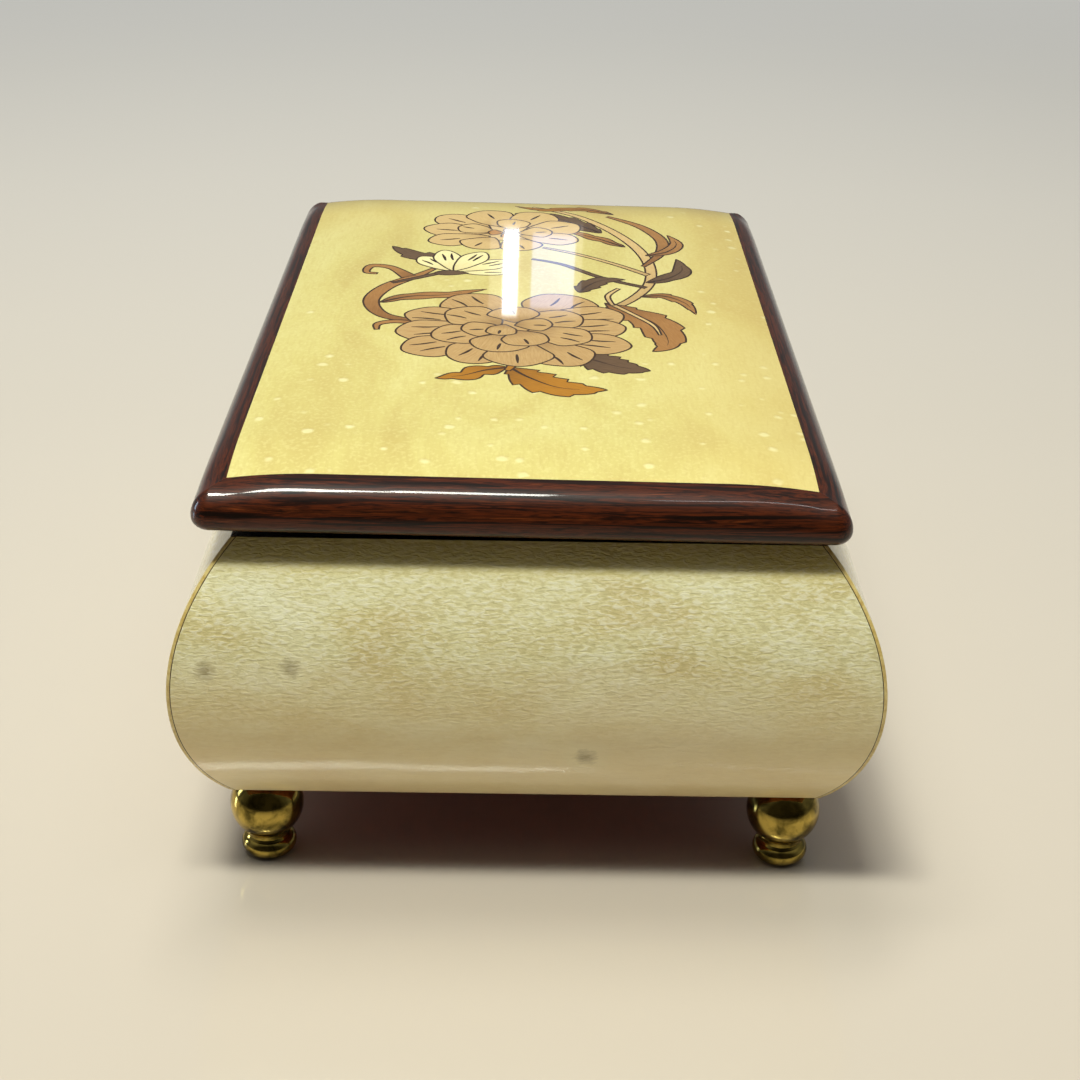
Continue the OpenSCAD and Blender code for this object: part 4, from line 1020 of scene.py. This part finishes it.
class JEWELBOX_OT_lining(bpy.types.Operator):
    """Covers the lining boards, the lid's pad and the ring rolls in velvet"""

    bl_idname = "jewelbox.lining"
    bl_label = "Velvet lining"

    def execute(self, context):
        for node in ("lining_floor", "lining_front", "lining_back", "lining_end", "lining_partition"):
            soft_board(node, 0.5, 0.12)
        soft_board("ring_block", 1.2, 0.3)
        count = 7
        low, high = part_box("ring_rolls")
        long, across = high.x - low.x, high.z - low.z
        pitch = (high.y - low.y - across) / (count - 1)
        rolls = []
        for i in range(count):
            mid = Vector(((low.x + high.x) / 2, low.y + across / 2 + i * pitch, (low.z + high.z) / 2))
            roll = fresh("roll", bpy.ops.mesh.primitive_cylinder_add, vertices=40, radius=across / 2,
                         depth=long, rotation=(0, math.pi / 2, 0), location=mid)
            clothe(roll, "red velvet")
            bpy.ops.object.transform_apply(location=True, rotation=True, scale=True)
            edit(roll, lambda f: abs(f.normal.x) > 0.9)
            bpy.ops.mesh.bevel(offset=1.6 * MM, segments=5, affect="EDGES", clamp_overlap=True)
            edit(roll, lambda e: abs(e.verts[0].co.x - e.verts[1].co.x) > 10 * MM, "EDGE")
            bpy.ops.mesh.subdivide(number_cuts=12)
            done(roll, 50)
            rng = random.Random(40 + i)
            lean, phase = rng.uniform(-0.2, 0.2), rng.uniform(0, 6.28)
            for v in roll.data.vertices:
                d = v.co - mid
                # The foam slumps a little and its cloth puckers towards the ends
                along = d.x / long
                shrink = 0.985 - 0.02 * abs(math.sin(along * 9 + phase)) - 0.12 * along * along
                v.co.y = mid.y + d.y * shrink
                v.co.z = mid.z + d.z * (shrink - 0.01 * (1 + math.sin(along * 5 + lean)))
            rolls.append(roll)
        piece = join("ring_rolls_velvet", rolls)
        finish(piece, "case", "velvet", "ring_rolls", stuff="red velvet")
        pad = slab("lid_pad_velvet", 64, 40, pad_top, smooth=50)
        finish(pad, "lid", "velvet", "lid_pad", stuff="red velvet")
        return {"FINISHED"}


# ---- Stage ----


class JEWELBOX_OT_stage(bpy.types.Operator):
    """Sets the pale table, the lamps, the room's light and the camera"""

    bl_idname = "jewelbox.stage"
    bl_label = "Stage"

    def execute(self, context):
        scene = context.scene
        look = scene.jewelbox_look
        floor = fresh("floor", bpy.ops.mesh.primitive_plane_add, size=16)
        tree = material("pale table")
        spot = put(tree, "TexCoord", out="Object")
        # Painted light and shade on the table: paler far off, and darker towards the camera
        tone = put(tree, "MapRange", [put(tree, "SeparateXYZ", [spot], "X"), -1.2, 0.2])
        tone = put(tree, "ValToRGB", [tone], stops=((0.0, "#FFFFFF"), (0.75, "#D4CCC1"), (1.0, "#C8BDAE")))
        table = put(tree, "BsdfPrincipled", {
            "Base Color": tone, "Roughness": 0.6, "Coat Weight": 1.0, "Coat Roughness": 0.1})
        # Far off, the table runs out into the pale room
        away = put(tree, "MapRange", [put(tree, "VectorMath", [spot], "Value", operation="LENGTH"), 0.75, 1.6])
        away = put(tree, "Math", [away, put(tree, "LightPath", out="Is Camera Ray")], operation="MULTIPLY")
        pale = put(tree, "Emission", [PALE_ROOM, 1.0])
        put(tree, "OutputMaterial", [put(tree, "MixShader", [away, table, pale])])
        clothe(floor, "pale table")

        scene.world = bpy.data.worlds.new("room")
        scene.world.use_nodes = True
        tree = scene.world.node_tree
        tree.nodes.clear()
        # A pale ceiling over dimmer walls, and a dark room on the camera's side; seen directly, it is pale
        x, z = (put(tree, "SeparateXYZ", [put(tree, "TexCoord", out="Generated")], way) for way in "XZ")
        wall = put(tree, "ValToRGB", [z], stops=((0.45, "#A9AAAA"), (0.85, "#EFEFEC")))
        near_side, below = put(tree, "MapRange", [x, 0.1, 0.6]), put(tree, "MapRange", [z, 0.85, 0.99, 1, 0])
        dim = put(tree, "Math", [near_side, below], operation="MULTIPLY")
        unseen = put(tree, "Background", [layers(tree, wall, (dim, 0, 1, 0, 1, "#4A463E")), look.room_light])
        shown = put(tree, "Background", [PALE_ROOM, 1.0])
        camera_ray = put(tree, "LightPath", out="Is Camera Ray")
        put(tree, "OutputWorld", [put(tree, "MixShader", [camera_ray, unseen, shown])])

        middle = Vector((0, 0, 0.06))
        for name, at, size, power, tint, gives in LAMPS:
            data = bpy.data.lights.new(name, "AREA")
            data.shape = "RECTANGLE"
            data.size, data.size_y = size
            data.energy = power
            data.color = linear(tint)[:3]
            lamp = bpy.data.objects.new(name, data)
            lamp.location = at
            lamp.rotation_mode = "QUATERNION"
            lamp.rotation_quaternion = (Vector(at) - middle).to_track_quat("Z", "Y")
            lamp.visible_camera = False
            lamp.visible_glossy = gives != "light"
            lamp.visible_diffuse = gives != "shine"
            scene.collection.objects.link(lamp)

        # The camera looks down along the box from its near end, and is tipped a little to one side
        pitch, yaw, roll = (math.radians(a) for a in (26.82, 0.51, 1.113))
        ahead = Vector((-math.cos(yaw) * math.cos(pitch), math.sin(yaw) * math.cos(pitch), -math.sin(pitch)))
        right = Vector((math.sin(yaw), math.cos(yaw), 0))
        above = right.cross(ahead)
        turned = math.cos(roll) * right + math.sin(roll) * above
        upright = -math.sin(roll) * right + math.cos(roll) * above
        data = bpy.data.cameras.new("camera")
        data.lens, data.sensor_width = look.lens, 36
        camera = bpy.data.objects.new("camera", data)
        stands = Matrix.Translation((0.4144, -0.0008, 0.2392))
        camera.matrix_world = stands @ Matrix((turned, upright, -ahead)).transposed().to_4x4()
        data.clip_start, data.clip_end = 0.01, 50
        scene.collection.objects.link(camera)
        scene.camera = camera
        scene.view_settings.view_transform = "Standard"
        return {"FINISHED"}


PALE_ROOM = "#D2D1CB"

# Name, place, size in metres, watts and colour of each lamp, and whether it gives light, shine or both
LAMPS = [
    ("ceiling lamp", (0.37, -0.26, 1.40), (0.30, 0.15), 12.2, "#FDFFF2", "both"),
    ("dimmer lamp", (0.37, -0.035, 1.40), (0.15, 0.13), 4.2, "#FDFFF2", "both"),
    ("ceiling line", (0.37, 0.36, 1.40), (0.60, 0.03), 0.9, "#FFFFFF", "both"),
    ("ceiling strip", (-0.32, -0.25, 1.50), (0.90, 0.24), 9.8, "#FFFEF6", "light"),
    ("far lamp", (-1.40, 0.10, 1.50), (1.20, 1.20), 2.2, "#F6F9FF", "light"),
    ("window strip", (-2.0, -0.0153, 0.7475), (0.0205, 0.118), 0.055, "#F8FAFF", "both"),
    ("window pane", (-2.0, 0.0440, 0.7450), (0.0600, 0.102), 0.042, "#9CBCFF", "both"),
    ("window glow", (-2.02, 0.0200, 0.7500), (0.1300, 0.130), 0.030, "#FFFAF4", "both"),
    ("side window", (-0.22, -1.50, 0.34), (0.22, 0.46), 3.6, "#D8E8FF", "shine"),
]


# ---- Settings and panel ----


def mm_setting(name, description, default, low, high):
    """A setting in millimetres, kept in metres."""
    return bpy.props.FloatProperty(
        name=name, description=description, default=default * MM, min=low * MM, max=high * MM, unit="LENGTH")


def colour_setting(name, description, default):
    """A setting that starts from an sRGB hex colour."""
    return bpy.props.FloatVectorProperty(
        name=name, description=description, subtype="COLOR", size=4, min=0, max=1, default=linear(default))


class JewelboxLook(bpy.types.PropertyGroup):
    """Sizes and colours of the box's looks"""

    ball_d: mm_setting("Foot ball", "Diameter of the ball of a foot", 15.8, 10, 20)
    bead_d: mm_setting("Foot bead", "Diameter of the bead of a foot", 11.9, 8, 16)
    neck_d: mm_setting("Foot neck", "Diameter between ball and bead", 9.6, 6, 12)
    lid_corner: mm_setting("Lid corner", "Radius of the lid's corners in plan", 4.0, 1, 6.8)
    inlay_line: mm_setting("Inlay line", "Width of the dark line round each inlay piece", 0.5, 0.1, 1)
    case_maple: colour_setting("Case maple", "Middle tone of the case's curly maple", "#EEE7B4")
    lid_maple: colour_setting("Lid maple", "Middle tone of the lid's bird's-eye maple", "#D6C97C")
    rosewood: colour_setting("Rosewood", "Red-brown of the rosewood between its black lines", "#56240D")
    foot_brass: colour_setting("Feet", "Colour of the feet's clean brass", "#BFA653")
    velvet_pale: colour_setting("Velvet, lit", "Colour of the velvet's lit pile", "#8E1426")
    velvet_deep: colour_setting("Velvet, deep", "Colour of the velvet's shaded pile", "#4A0611")
    room_light: bpy.props.FloatProperty(
        name="Room light", description="Strength of the light from all round", default=0.4, min=0, max=2)
    lens: bpy.props.FloatProperty(
        name="Lens", description="Focal length of the camera", default=60.0, min=20, max=200, unit="CAMERA")


class JEWELBOX_PT_panel(bpy.types.Panel):
    """Lists the box's steps in the 3D view's sidebar"""

    bl_label = "Jewellery Box"
    bl_space_type = "VIEW_3D"
    bl_region_type = "UI"
    bl_category = "Jewellery Box"

    def draw(self, context):
        look = context.scene.jewelbox_look
        for name in JewelboxLook.__annotations__:
            self.layout.prop(look, name)
        for step in STEPS:
            self.layout.operator(step.bl_idname)


STEPS = [
    JEWELBOX_OT_stage,
    JEWELBOX_OT_finishes,
    JEWELBOX_OT_case,
    JEWELBOX_OT_feet,
    JEWELBOX_OT_lid,
    JEWELBOX_OT_inlay,
    JEWELBOX_OT_lining,
]


def register():
    for kind in (JewelboxLook, *STEPS, JEWELBOX_PT_panel):
        bpy.utils.register_class(kind)
    bpy.types.Scene.jewelbox_look = bpy.props.PointerProperty(type=JewelboxLook)


def unregister():
    del bpy.types.Scene.jewelbox_look
    for kind in (JEWELBOX_PT_panel, *reversed(STEPS), JewelboxLook):
        bpy.utils.unregister_class(kind)


def main():
    register()
    for step in STEPS:
        group, name = step.bl_idname.split(".")
        getattr(getattr(bpy.ops, group), name)()


if __name__ == "__main__":
    main()
